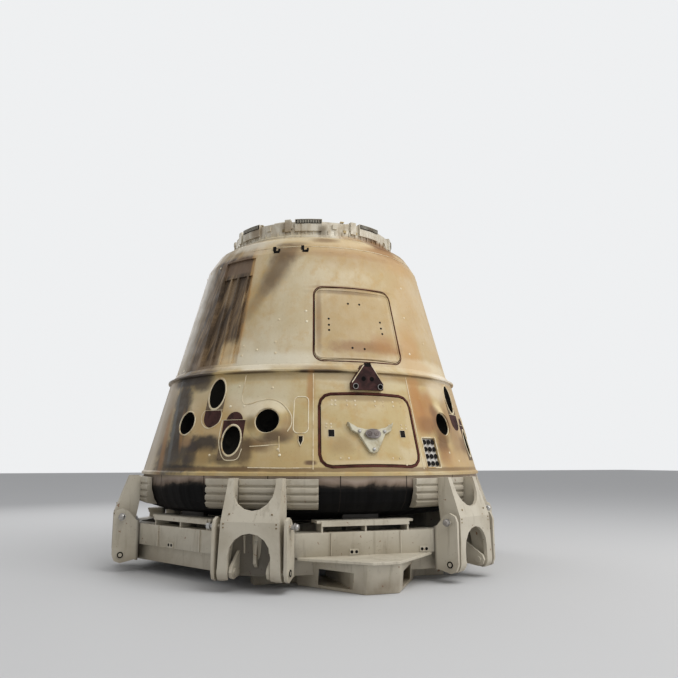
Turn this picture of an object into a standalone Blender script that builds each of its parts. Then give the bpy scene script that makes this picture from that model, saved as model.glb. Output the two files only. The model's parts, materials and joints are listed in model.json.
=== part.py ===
"""Blunt-bodied space capsule after its return, standing in its handling cradle.

Frame: origin on the capsule's axis at floor level, +Z up, side hatch and service bay door facing -Y.
Lengths are in metres. An azimuth is in degrees, from -Y towards +X. A height is measured from the
capsule's base plane on the capsule's own pieces, and from the floor on the cradle's.
"""

import math

import bmesh
import bpy
from mathutils import Matrix, Vector

# Fits and facets
SEAT_GAP = 0.0003  # left between pieces that touch
RUNNING_GAP = 0.006  # left round pieces that move
PAD_GAP = 0.008  # between the heat shield and the pads on the arms
OVERRUN = 0.08  # how far a cutter runs past what it cuts
FACET_DEG = 6.0
TOP_FACET_DEG = 7.5  # on the smaller rings at the top
FIRST_STATION_DEG = -2.0
ARC_STEPS = 3
PORT_SIDES = 10
PIN_SIDES = 8

# Capsule, lower shell
LIFT = 0.97  # floor to base plane
BASE_RADIUS = 1.875
TAPER_DEG = 15.0
TAPER = math.tan(math.radians(TAPER_DEG))
LOWER_WALL = 0.06
BASE_RING_DROP = 0.012
BASE_RING_TOP = 0.028
BASE_RING_FLARE = 0.013
BASE_RING_LEDGE = 0.075  # how far in the base ring reaches under the wall
LOWER_TOP = 0.953

# Capsule, ring between the shells and cabin floor
LIP_REACH = 0.026
LIP_START = 0.959
LIP_END = 0.976
COVE_RISE = 0.014
COVE_IN = 0.040
MID_TOP = 1.038
UPPER_STEP = 0.031  # how far the upper shell stands inside the lower one's slope
UPPER_RADIUS = BASE_RADIUS - MID_TOP * TAPER - UPPER_STEP  # at the ring's top
MID_LEDGE = 0.10
FLOOR_PLATE = 0.045
FLOOR_DROP = 0.025

# Capsule, upper shell and shoulder
UPPER_WALL = 0.08
UPPER_TOP = 2.250
SHOULDER_TOP = 2.490
SHOULDER_WALL = 0.05
SHOULDER_RUN = 0.281  # how far in the shoulder curves
SHOULDER_RADIUS = UPPER_RADIUS - (UPPER_TOP - MID_TOP) * TAPER - SHOULDER_RUN
SHOULDER_LEDGE = 0.160
SHOULDER_BORE = SHOULDER_RADIUS - SHOULDER_LEDGE
CHANNEL_DEPTH = 0.045
CHANNEL_POCKET = 0.22
RIDGE_WIDTH_DEG = 1.0
RIDGE_RISE = 0.022

# Capsule, berthing ring and forward hatch
BERTH_INSET = 0.030
BERTH_WALL = 0.110
BERTH_RADIUS = SHOULDER_RADIUS - BERTH_INSET
BERTH_BORE = BERTH_RADIUS - BERTH_WALL
BERTH_TOP = 2.692
BERTH_FOOT = 0.035
BERTH_LIP = 0.02
SEGMENT_COUNT = 8
FIRST_SEGMENT_DEG = -21.0
SEGMENT_RISE = 0.025
SEGMENT_PROUD = 0.022
SEGMENT_DROP = 0.11
# columns: azimuth from a segment's middle, half width
SEGMENT_BLOCKS_DEG = ((0.0, 9.0), (-14.0, 2.0))
GUIDE_COUNT = 6
GUIDE_RISE = 0.05
GUIDE_LEAN = 0.06
GUIDE_THICK = 0.03
GUIDE_DEG = 5.0
HATCH_SHARE = 0.75  # of the shoulder's bore
HATCH_HALF = SHOULDER_BORE * HATCH_SHARE
HATCH_CORNER_SHARE = 0.4
HATCH_CORNER = HATCH_HALF * HATCH_CORNER_SHARE
HATCH_PLATE = 0.06
HATCH_PAN = 0.03
HATCH_PAN_INSET = 0.09
TOP_PLATE = 0.04

# Heat shield
SHIELD_INSET = 0.009
SHIELD_RADIUS = BASE_RADIUS - SHIELD_INSET
SHIELD_SKIRT = 0.150
SHIELD_HEEL = 0.250
SHIELD_HEEL_IN = 0.031
SHIELD_EDGE = 0.325
SHIELD_EDGE_IN = 0.090
SHIELD_RIM = 0.385
SHIELD_RIM_SHARE = 0.847  # of the shield's radius
SHIELD_MID = 0.465
SHIELD_MID_SHARE = 0.509  # of the shield's radius
SHIELD_DEPTH = 0.500

# Service bay door, in the lower shell
BAY_SECTOR_DEG = 18.0  # half of the panel that the bay lies in
BAY_HALF_DEG = 16.15
BAY_BOTTOM = 0.054
BAY_TOP = 0.750
BAY_CORNER = 0.125
SEAL_WIDTH = 0.022
SEAL_PROUD = 0.004
BAY_GAP = 0.008
BAY_BOX_SPARE = 0.024  # how much wider the box is than its mouth
BAY_BOX_HALF = BASE_RADIUS * math.sin(math.radians(BAY_HALF_DEG)) + BAY_BOX_SPARE
BAY_BOX_TOP = 0.800
BAY_BOX_WALL = 0.018
BAY_BOX_DEPTH = 0.595
BAY_BOX_BACK = BASE_RADIUS - BAY_BOX_DEPTH

# Side hatch, in the upper shell
SIDE_SECTOR_DEG = 30.0  # half of the panel that the hatch lies in
SIDE_HALF_DEG = 17.45
SIDE_BOTTOM = 1.075
SIDE_TOP = 1.845
SIDE_CORNER = 0.085
SIDE_GAP = 0.010
ROD_LENGTH_SHARE = 0.6
ROD_RADIUS_SHARE = 0.45  # of the gap that the rod lies in

# Fittings on the shells
CLAW_HEIGHT = 0.360
CLAW_SPAN = 0.23
CLAW_THICK = 0.030
CLAW_BOSS = 0.018
CLAW_BOSS_LONG = 0.081
CLAW_BOSS_HIGH = 0.045
RELEASE_HALF = 0.160
RELEASE_NOSE = 0.034
RELEASE_BOTTOM = 0.780
RELEASE_CORNER = 0.845
RELEASE_TOP = 1.026
RELEASE_PROUD = 0.040
CONNECTOR_START_DEG = 18.5
CONNECTOR_END_DEG = 24.3
CONNECTOR_BOTTOM = 0.065
CONNECTOR_TOP = 0.335
CONNECTOR_DEPTH = 0.035
CONNECTOR_PLATE = 0.014
CONNECTOR_ROWS = 4
CONNECTOR_COLUMNS = 3
CONNECTOR_RADIUS = 0.021
CONNECTOR_STUB = 0.012
CONNECTOR_SIDES = 6

# Thruster ports: a group has four, at these azimuths from its middle
GROUP_MIDDLES_DEG = (-47.0, 46.2, 133.0, 227.0)
ROUND_PORT_RADIUS = 0.120
TALL_PORT_RADIUS = 0.100
ROUND_PORT_HEIGHT = 0.484
LOW_PORT_HEIGHT = 0.308
HIGH_PORT_HEIGHT = 0.760
# columns: azimuth from the middle, height, radius, pitch of the nozzle above level
PORTS = (
    (-15.4, ROUND_PORT_HEIGHT, ROUND_PORT_RADIUS, 15.0),
    (-4.15, HIGH_PORT_HEIGHT, TALL_PORT_RADIUS, 66.0),
    (4.5, LOW_PORT_HEIGHT, TALL_PORT_RADIUS, -32.0),
    (15.4, ROUND_PORT_HEIGHT, ROUND_PORT_RADIUS, 15.0),
)
NOZZLE_WALL = 0.010
NOZZLE_LENGTH = 0.25
NOZZLE_END = 0.02
CARRIER_INSET = 0.085
CARRIER_THICK = 0.03
CARRIER_HALF_DEG = 18.0
CARRIER_BOTTOM = 0.16
CARRIER_TOP = 0.88

# Cradle, ring of six beams: its corners lie under the arms
ARM_COUNT = 6
FIRST_ARM_DEG = -32.0
RING_INSET = 0.066
BEAM_WIDTH = 0.18
RING_FACE = SHIELD_RADIUS - RING_INSET
RING_BACK = RING_FACE - BEAM_WIDTH
RING_TOP = 0.47
RING_BOTTOM = 0.27
WEB_INSET = 0.08
WEB_PLATE = 0.06
WEB_OUT = RING_FACE - WEB_INSET
WEB_IN = WEB_OUT - WEB_PLATE
WEB_BOTTOM = 0.11
CORNER_REACH = 0.10
CORNER_FLAT = RING_FACE + CORNER_REACH
SHELF_TOP = 0.570
SHELF_PLATE = 0.022
SHELF_OVERHANG = 0.02
SHELF_BACK = RING_BACK - SHELF_OVERHANG
SHELF_HALF = 0.46
SHELF_LIP = 0.05
SHELF_LIP_PLATE = 0.018
SHELF_LIP_HALF = 0.42
GUSSET_OFFSET = 0.41
GUSSET_PLATE = 0.016
WELD_DEPTH = 0.012  # how far welded plates run into each other
REST_HALF_DEG = 6.0
REST_INSET = 0.006
REST_DEPTH = 0.055
REST_IN = SHELF_BACK + REST_INSET
REST_OUT = REST_IN + REST_DEPTH

# Cradle, corner units with the ears and pins that carry the arms
EAR_PLATE = 0.028
EAR_INSIDE = 0.305  # from the arm's middle to the outer ear
INNER_EAR_INSIDE = 0.150
CORNER_PLATE = 0.028
CORNER_TOP = 0.500
CORNER_BOTTOM = 0.115
PIVOT_REACH = 0.27
PIVOT_RADIUS_OUT = RING_FACE + PIVOT_REACH  # from the capsule's axis to the pivot
PIVOT_HEIGHT = 0.170
EAR_ROUND = 0.080
INNER_EAR_ROUND = 0.062
LOCK_HEIGHT = 0.540
PIN_RADIUS = 0.030
PIN_HEAD = 0.012
LOCK_RADIUS = 0.020
LOCK_HEAD = 0.050
FIN_PLATE = 0.03
FIN_REACH = 0.055

# Cradle, arms and pads
ARM_FRONT = 0.070  # from the pivot out to the arm's face
ARM_FACE = PIVOT_RADIUS_OUT + ARM_FRONT
ARM_FOLD = 0.580
ARM_TOP = 0.940
ARM_LEAN = 0.130
ARM_TOP_FACE = ARM_FACE - ARM_LEAN
ARM_HALF_TOP = 0.245
ARM_HALF_BOTTOM = 0.278
ARM_CHEEK = 0.058
ARM_SKIN = 0.030
ARM_TOP_DEPTH = 0.110
ARM_BACK = ARM_TOP_FACE - ARM_TOP_DEPTH
ARM_BACK_BOTTOM = 0.720
ARM_NOTCH_HALF = 0.190
ARM_NOTCH_BOTTOM = 0.670
ARM_ARCH_HALF = 0.188
ARM_ARCH_TOP = 0.490
ARM_ROUND = 0.078
PAD_HALF_DEG = 15.9
PAD_TOP = 0.932
PAD_BOTTOM = 0.668
PAD_THICK = 0.054
PAD_RADIUS = SHIELD_RADIUS + PAD_GAP + PAD_THICK
PAD_GROOVE = 0.022
PAD_RIBS = 4
PAD_LEAN = 0.045

# Cradle, feet under the front and rear beams
FOOT_AZIMUTHS_DEG = (-2.0, 178.0)
FOOT_NOSE_REACH = 0.38
FOOT_NOSE = RING_FACE + FOOT_NOSE_REACH
FOOT_NOSE_HALF = 0.15
FOOT_SIDE_INSET = 0.24
FOOT_SIDE = RING_FACE - FOOT_SIDE_INSET
FOOT_SIDE_HALF = 0.56
FOOT_BACK_INSET = 0.50
FOOT_BACK = RING_FACE - FOOT_BACK_INSET
FOOT_SPREAD = 0.05  # how much wider the box is under its top plate
FOOT_PLATE = 0.026
FOOT_PLATE_REACH = 0.47
FOOT_PLATE_NOSE = RING_FACE + FOOT_PLATE_REACH
FOOT_PLATE_NOSE_HALF = 0.12
FOOT_PLATE_HALF = 0.64
FOOT_PLATE_SIDE = RING_FACE
WING_HALF = 0.94
WING_INSET = 0.37
WING_FACE = RING_FACE - WING_INSET
WING_TOP = 0.098
POCKET_OFFSET = 0.33
POCKET_WIDTH = 0.21
POCKET_BOTTOM = 0.028
POCKET_TOP = 0.165

# Panels: name, first and last azimuth
LOWER_PANELS = (
    ("lower_shell_front", -BAY_SECTOR_DEG, BAY_SECTOR_DEG),
    ("lower_shell_right", BAY_SECTOR_DEG, 90.0),
    ("lower_shell_right_rear", 90.0, 162.0),
    ("lower_shell_rear", 162.0, 198.0),
    ("lower_shell_left_rear", 198.0, 270.0),
    ("lower_shell_left", 270.0, 360.0 - BAY_SECTOR_DEG),
)
UPPER_PANELS = (
    ("upper_shell_front", -SIDE_SECTOR_DEG, SIDE_SECTOR_DEG),
    ("upper_shell_right", SIDE_SECTOR_DEG, 105.0),
    ("upper_shell_right_rear", 105.0, 180.0),
    ("upper_shell_left_rear", 180.0, 293.0),
    ("upper_shell_channel", 293.0, 314.0),
    ("upper_shell_left", 314.0, 360.0 - SIDE_SECTOR_DEG),
)
RIDGE_SHARES = (0.30, 0.52, 0.80)  # places of the ridges across the channel

# Finishes: name, colour, roughness, metallic
FINISHES = {
    "scorched_paint": ((0.60, 0.45, 0.26), 0.6, 0.0),
    "charred_tile": ((0.06, 0.05, 0.045), 0.8, 0.0),
    "bare_metal": ((0.45, 0.44, 0.41), 0.4, 0.9),
    "dark_seal": ((0.07, 0.012, 0.010), 0.7, 0.0),
    "maroon_fitting": ((0.08, 0.02, 0.02), 0.6, 0.0),
    "nozzle_black": ((0.015, 0.015, 0.015), 0.7, 0.2),
    "cradle_white": ((0.58, 0.57, 0.52), 0.5, 0.0),
    "pin_steel": ((0.5, 0.5, 0.5), 0.3, 1.0),
}


def polar(radius, azimuth, height):
    """The point at this distance from the axis, azimuth in degrees and height."""
    turn = math.radians(azimuth)
    return Vector((radius * math.sin(turn), -radius * math.cos(turn), height))


def lower_radius(height):
    """The lower shell's outer radius at a height above the base plane."""
    return BASE_RADIUS - height * TAPER


def upper_radius(height):
    """The upper shell's outer radius at a height above the base plane."""
    return UPPER_RADIUS - (height - MID_TOP) * TAPER


def finish(name):
    """The named Principled material, made once."""
    if name in bpy.data.materials:
        return bpy.data.materials[name]
    colour, roughness, metallic = FINISHES[name]
    material = bpy.data.materials.new(name)
    material.use_nodes = True
    shader = material.node_tree.nodes["Principled BSDF"]
    shader.inputs["Base Color"].default_value = (*colour, 1.0)
    shader.inputs["Roughness"].default_value = roughness
    shader.inputs["Metallic"].default_value = metallic
    return material


def solid(name, points, faces):
    """A closed mesh object from points and faces, its faces turned outwards."""
    mesh = bpy.data.meshes.new(name)
    mesh.from_pydata(points, [], faces)
    work = bmesh.new()
    work.from_mesh(mesh)
    bmesh.ops.remove_doubles(work, verts=work.verts, dist=SEAT_GAP / 10)
    bmesh.ops.recalc_face_normals(work, faces=work.faces)
    work.to_mesh(mesh)
    work.free()
    piece = bpy.data.objects.new(name, mesh)
    bpy.context.collection.objects.link(piece)
    return piece


def turned(name, outline, start=FIRST_STATION_DEG, end=None, facet=FACET_DEG):
    """A closed outline of (radius, height) turned about the axis, all round if it has no end."""
    whole = end is None
    end = start + 360 if whole else end
    steps = round((end - start) / facet)
    stations = steps if whole else steps + 1
    size = len(outline)
    points = []
    for station in range(stations):
        azimuth = start + (end - start) * station / steps
        points += [polar(radius, azimuth, height) for radius, height in outline]
    faces = []
    for step in range(steps):
        here = step * size
        ahead = (step + 1) % stations * size
        for index in range(size):
            following = (index + 1) % size
            if outline[index][0] or outline[following][0]:
                faces.append((here + index, here + following, ahead + following, ahead + index))
    if not whole:
        faces.append(tuple(range(size)))
        faces.append(tuple(range((stations - 1) * size, stations * size)))
    return solid(name, points, faces)


def hexagon_ring(name, outline, corner_azimuth):
    """A closed outline of (distance to the flat, height) swept round six mitred flats."""
    size = len(outline)
    reach = 1 / math.cos(math.pi / ARM_COUNT)
    points = []
    for corner in range(ARM_COUNT):
        azimuth = corner_azimuth + corner * 360 / ARM_COUNT
        points += [polar(flat * reach, azimuth, height) for flat, height in outline]
    faces = []
    for corner in range(ARM_COUNT):
        here = corner * size
        ahead = (corner + 1) % ARM_COUNT * size
        for index in range(size):
            following = (index + 1) % size
            faces.append((here + index, here + following, ahead + following, ahead + index))
    return solid(name, points, faces)


def loft(name, sections):
    """A solid through closed sections with the same number of points, its ends filled."""
    size = len(sections[0])
    points = [point for section in sections for point in section]
    faces = [tuple(range(size)), tuple(range((len(sections) - 1) * size, len(sections) * size))]
    for level in range(len(sections) - 1):
        for index in range(size):
            following = (index + 1) % size
            here = level * size
            ahead = here + size
            faces.append((here + index, here + following, ahead + following, ahead + index))
    return solid(name, points, faces)


def prism(name, outline, place, low, high):
    """A flat outline pushed from one depth to another along the third axis of a placing matrix."""
    sections = [[place @ Vector((x, y, depth)) for x, y in outline] for depth in (low, high)]
    return loft(name, sections)


def block(name, low, high):
    """A box between two corners."""
    outline = [(low[0], low[1]), (high[0], low[1]), (high[0], high[1]), (low[0], high[1])]
    return prism(name, outline, Matrix.Identity(4), low[2], high[2])


def circle(centre, radius, sides, first_share=0.0):
    """The points of a circle, counted from its right or from a share of a side past it."""
    turns = [math.tau * (index + first_share) / sides for index in range(sides)]
    return [
        (centre[0] + radius * math.cos(turn), centre[1] + radius * math.sin(turn)) for turn in turns
    ]


def rounded(corners, radius):
    """A closed outline whose corners are arcs of one radius."""
    outline = []
    for index, corner in enumerate(corners):
        here = Vector(corner)
        back = (Vector(corners[index - 1]) - here).normalized()
        ahead = (Vector(corners[(index + 1) % len(corners)]) - here).normalized()
        half = back.angle(ahead) / 2
        centre = here + (back + ahead).normalized() * (radius / math.sin(half))
        first = here + back * (radius / math.tan(half)) - centre
        last = here + ahead * (radius / math.tan(half)) - centre
        sweep = first.angle_signed(last)
        for step in range(ARC_STEPS + 1):
            turn = -sweep * step / ARC_STEPS
            arm = Matrix.Rotation(turn, 2) @ first
            outline.append((centre.x + arm.x, centre.y + arm.y))
    return outline


def hull(points):
    """The convex outline round flat points."""
    ordered = sorted(points)

    def chain(run):
        kept = []
        for point in run:
            while len(kept) > 1:
                (ax, ay), (bx, by) = kept[-2], kept[-1]
                if (bx - ax) * (point[1] - ay) - (by - ay) * (point[0] - ax) > 0:
                    break
                kept.pop()
            kept.append(point)
        return kept[:-1]

    return chain(ordered) + chain(reversed(ordered))


def facing(origin, across, up):
    """A placing matrix whose third axis is across x up, at an origin."""
    across = Vector(across).normalized()
    up = Vector(up).normalized()
    frame = Matrix((across, up, across.cross(up))).transposed().to_4x4()
    frame.translation = Vector(origin)
    return frame


def combine(piece, tools, operation):
    """Apply one Boolean after another to a piece and remove the tools."""
    for tool in tools:
        change = piece.modifiers.new(operation, "BOOLEAN")
        change.operation = operation
        change.object = tool
        change.solver = "EXACT"
    graph = bpy.context.evaluated_depsgraph_get()
    result = bpy.data.meshes.new_from_object(piece.evaluated_get(graph))
    piece.modifiers.clear()
    piece.data = result
    for tool in tools:
        bpy.data.objects.remove(tool)
    return piece


def cut(piece, *tools):
    """Take the tools' space out of a piece."""
    return combine(piece, tools, "DIFFERENCE")


def fuse(piece, *tools):
    """Weld the tools to a piece."""
    return combine(piece, tools, "UNION")


def keep(piece, *tools):
    """Keep of a piece what lies inside the tools."""
    return combine(piece, tools, "INTERSECT")


def done(piece, finish_name, smooth_deg=30.0):
    """Give a finished piece its material and smooth its round faces."""
    piece.data.name = piece.name
    piece.data.materials.clear()
    piece.data.materials.append(finish(finish_name))
    piece.data.shade_smooth()
    piece.data.set_sharp_from_angle(angle=math.radians(smooth_deg))
    return piece


def around(piece, count, first, spacing, names, pivot=None):
    """Copies of a piece modelled at azimuth 0, turned about the axis, each with its own name."""
    pivot = pivot or Vector((0, 0, 0))
    piece.data.transform(Matrix.Translation(-pivot))
    copies = []
    for index in range(count):
        turn = Matrix.Rotation(math.radians(first + index * spacing), 4, "Z")
        copy = bpy.data.objects.new(names.format(index + 1), piece.data)
        copy.location = turn @ pivot
        copy.rotation_euler = turn.to_euler()
        bpy.context.collection.objects.link(copy)
        copies.append(copy)
    bpy.data.objects.remove(piece)
    return copies


def shell_outline(radius_at, bottom, top, wall, proud=0.0):
    """The wall of a shell between two heights, as (radius, height), its ends level."""
    depth = wall / math.cos(math.radians(TAPER_DEG))
    return [
        (radius_at(bottom) - depth, LIFT + bottom),
        (radius_at(bottom) + proud, LIFT + bottom),
        (radius_at(top) + proud, LIFT + top),
        (radius_at(top) - depth, LIFT + top),
    ]


def panel(name, radius_at, bottom, top, wall, start, end):
    """One panel of a shell, short of its neighbours by the seat gap."""
    seam = math.degrees(SEAT_GAP / SHOULDER_RADIUS) / 2
    outline = shell_outline(radius_at, bottom + SEAT_GAP, top - SEAT_GAP, wall)
    return turned(name, outline, start + seam, end - seam)


def door_frame(radius_at, bottom, top):
    """A frame on the shell at azimuth 0: across, up the slope and straight out of it."""
    middle = (bottom + top) / 2
    slope = math.radians(TAPER_DEG)
    up = (0, math.sin(slope), math.cos(slope))
    return facing(polar(radius_at(middle), 0, LIFT + middle), (1, 0, 0), up)


def door_outline(radius_at, half_deg, bottom, top, corner, inset):
    """A door's outline that follows the shell's azimuths and heights, seen straight on.

    It is drawn as a rounded rectangle of arc length and height, laid on the shell and then
    projected on the door's frame.
    """
    middle = radius_at((bottom + top) / 2)
    half = math.radians(half_deg) * middle - inset
    low, high = bottom + inset, top - inset
    flat = rounded([(-half, low), (half, low), (half, high), (-half, high)], corner - inset)
    frame = door_frame(radius_at, bottom, top).inverted()
    outline = []
    for arc, height in flat:
        point = frame @ polar(radius_at(height), math.degrees(arc / middle), LIFT + height)
        outline.append((point.x, point.y))
    return outline


def door_prism(name, radius_at, half_deg, bottom, top, corner, inset):
    """The block that a door's outline sweeps straight through the shell's wall."""
    outline = door_outline(radius_at, half_deg, bottom, top, corner, inset)
    frame = door_frame(radius_at, bottom, top)
    reach = radius_at(bottom) * (1 - math.cos(math.radians(half_deg))) + UPPER_WALL + OVERRUN
    return prism(name, outline, frame, -reach, OVERRUN)


def hinge_line(radius_at, half_deg, bottom, top, inset):
    """The two ends of the line on the shell's surface that a door turns about, bottom first."""
    middle = radius_at((bottom + top) / 2)
    azimuth = -half_deg + math.degrees(inset / middle)
    return [polar(radius_at(height), azimuth, LIFT + height) for height in (bottom, top)]


def rod(name, first, last, radius, sides=PIN_SIDES):
    """A round bar between two points."""
    along = (last - first).normalized()
    side = along.orthogonal().normalized()
    frame = facing(first, side, along.cross(side))
    return prism(name, circle((0, 0), radius, sides), frame, 0, (last - first).length)


def hinge_rod(name, line, radius):
    """The rod in a door's gap, along the middle of its hinge line."""
    spare = (1 - ROD_LENGTH_SHARE) / 2
    first = line[0].lerp(line[1], spare)
    last = line[0].lerp(line[1], 1 - spare)
    return done(rod(name, first, last, radius, PIN_SIDES), "pin_steel")


def hang(piece, line):
    """Move a door's origin on to its hinge line without moving its shape."""
    origin = line[0].lerp(line[1], 0.5)
    piece.data.transform(Matrix.Translation(-origin))
    piece.location = origin
    return piece


def port_axes(middle):
    """The mouth, outward direction and radius of each thruster port in a group."""
    axes = []
    for offset, height, radius, pitch in PORTS:
        azimuth = middle + offset
        tilt = math.radians(pitch)
        outward = polar(math.cos(tilt), azimuth, math.sin(tilt))
        axes.append((polar(lower_radius(height), azimuth, LIFT + height), outward, radius))
    return axes


def shield_outline():
    """The blunt heat shield's outline: short skirt, rounded heel and shallow dome."""
    top = LIFT - BASE_RING_DROP - SEAT_GAP
    return [
        (0, LIFT - SHIELD_DEPTH),
        (SHIELD_RADIUS * SHIELD_MID_SHARE, LIFT - SHIELD_MID),
        (SHIELD_RADIUS * SHIELD_RIM_SHARE, LIFT - SHIELD_RIM),
        (SHIELD_RADIUS - SHIELD_EDGE_IN, LIFT - SHIELD_EDGE),
        (SHIELD_RADIUS - SHIELD_HEEL_IN, LIFT - SHIELD_HEEL),
        (SHIELD_RADIUS, LIFT - SHIELD_SKIRT),
        (SHIELD_RADIUS, top),
        (0, top),
    ]


def build_rings():
    """The base ring, the ring between the shells with its lip, and the cabin floor."""
    inner = BASE_RADIUS - BASE_RING_LEDGE
    outline = [
        (inner, LIFT - BASE_RING_DROP),
        (BASE_RADIUS + BASE_RING_FLARE, LIFT - BASE_RING_DROP),
        (BASE_RADIUS + BASE_RING_FLARE, LIFT + BASE_RING_DROP),
        (lower_radius(BASE_RING_TOP), LIFT + BASE_RING_TOP),
        (inner, LIFT + BASE_RING_TOP),
    ]
    done(turned("base_ring", outline), "scorched_paint")
    ledge = UPPER_RADIUS - MID_LEDGE
    edge = lower_radius(LOWER_TOP)
    outline = [
        (ledge, LIFT + LOWER_TOP),
        (edge, LIFT + LOWER_TOP),
        (edge + LIP_REACH, LIFT + LIP_START),
        (edge + LIP_REACH, LIFT + LIP_END),
        (edge + LIP_REACH - COVE_IN, LIFT + LIP_END + COVE_RISE),
        (UPPER_RADIUS + COVE_RISE, LIFT + MID_TOP - COVE_RISE),
        (UPPER_RADIUS, LIFT + MID_TOP),
        (ledge, LIFT + MID_TOP),
    ]
    done(turned("mid_ring", outline, 0.0), "scorched_paint")
    top = LIFT + MID_TOP - FLOOR_DROP
    outline = [
        (0, top - FLOOR_PLATE),
        (ledge - SEAT_GAP, top - FLOOR_PLATE),
        (ledge - SEAT_GAP, top),
        (0, top),
    ]
    done(turned("cabin_floor", outline, 0.0), "bare_metal")


def build_lower_shell():
    """The lower shell's panels, with the bay opening, the ports and the connector recess."""
    for name, start, end in LOWER_PANELS:
        piece = panel(name, lower_radius, BASE_RING_TOP, LOWER_TOP, LOWER_WALL, start, end)
        tools = []
        if start < 0 < end:
            tools.append(
                door_prism("bay", lower_radius, BAY_HALF_DEG, BAY_BOTTOM, BAY_TOP, BAY_CORNER, 0.0)
            )
        for middle in GROUP_MIDDLES_DEG:
            if start < middle % 360 < end:
                for mouth, outward, radius in port_axes(middle):
                    reach = outward * (NOZZLE_LENGTH + OVERRUN)
                    tools.append(rod("port", mouth - reach, mouth + reach, radius, PORT_SIDES))
        if start < CONNECTOR_END_DEG < end:
            tools.append(connector_room(0.0))
        done(cut(piece, *tools), "scorched_paint")


def connector_room(shrink):
    """The recess for the connectors, or what fills it once it is made smaller all round."""
    turn = math.degrees(shrink / BASE_RADIUS)
    outline = shell_outline(
        lower_radius,
        CONNECTOR_BOTTOM + shrink,
        CONNECTOR_TOP - shrink,
        CONNECTOR_DEPTH - shrink,
        0.0 if shrink else OVERRUN,
    )
    return turned("recess", outline, CONNECTOR_START_DEG + turn, CONNECTOR_END_DEG - turn)


def build_connector_panel():
    """The plate at the back of the connector recess with its rows of round connectors."""
    piece = connector_room(SEAT_GAP)
    piece.name = "connector_panel"
    face = shell_outline(
        lower_radius,
        CONNECTOR_BOTTOM - OVERRUN,
        CONNECTOR_TOP + OVERRUN,
        CONNECTOR_DEPTH - CONNECTOR_PLATE,
        OVERRUN,
    )
    span = CONNECTOR_END_DEG - CONNECTOR_START_DEG
    piece = cut(piece, turned("front", face, CONNECTOR_START_DEG - span, CONNECTOR_END_DEG + span))
    stubs = []
    slope = math.radians(TAPER_DEG)
    high = CONNECTOR_TOP - CONNECTOR_BOTTOM
    for row in range(CONNECTOR_ROWS):
        for column in range(CONNECTOR_COLUMNS):
            azimuth = CONNECTOR_START_DEG + span * (column + 0.5) / CONNECTOR_COLUMNS
            height = CONNECTOR_BOTTOM + high * (row + 0.5) / CONNECTOR_ROWS
            outward = polar(math.cos(slope), azimuth, math.sin(slope))
            face_point = polar(lower_radius(height), azimuth, LIFT + height)
            face_point -= outward * (CONNECTOR_DEPTH - CONNECTOR_PLATE)
            stub = rod(
                "stub",
                face_point - outward * CONNECTOR_PLATE / 2,
                face_point + outward * CONNECTOR_STUB,
                CONNECTOR_RADIUS,
                CONNECTOR_SIDES,
            )
            stubs.append(stub)
    done(fuse(piece, *stubs), "cradle_white")


def build_upper_shell():
    """The upper shell's panels, with the side hatch's opening and the recessed channel."""
    for name, start, end in UPPER_PANELS:
        piece = panel(name, upper_radius, MID_TOP, UPPER_TOP, UPPER_WALL, start, end)
        if start < 0 < end:
            piece = cut(
                piece,
                door_prism(
                    "hatch", upper_radius, SIDE_HALF_DEG, SIDE_BOTTOM, SIDE_TOP, SIDE_CORNER, 0.0
                ),
            )
        if name.endswith("channel"):
            piece = channelled(piece, start, end)
        done(piece, "scorched_paint")


def channelled(piece, start, end):
    """Sink the face of the channel's panel, deeper in the pocket at its top, and raise ridges."""
    tools = []
    edge = RIDGE_WIDTH_DEG
    places = [start + edge / 2] + [start + share * (end - start) for share in RIDGE_SHARES] + [end]
    for low, high in zip(places, places[1:]):
        face = shell_outline(
            upper_radius, MID_TOP + LIP_REACH, UPPER_TOP - CHANNEL_POCKET, CHANNEL_DEPTH, OVERRUN
        )
        first, last = low + edge / 2, high - edge / 2
        tools.append(turned("channel", face, first, last))
    face = shell_outline(
        upper_radius,
        MID_TOP + LIP_REACH,
        UPPER_TOP - LIP_REACH,
        CHANNEL_DEPTH - RIDGE_RISE,
        OVERRUN,
    )
    tools.append(turned("channel", face, start + edge, end - edge / 2))
    return cut(piece, *tools)


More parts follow.
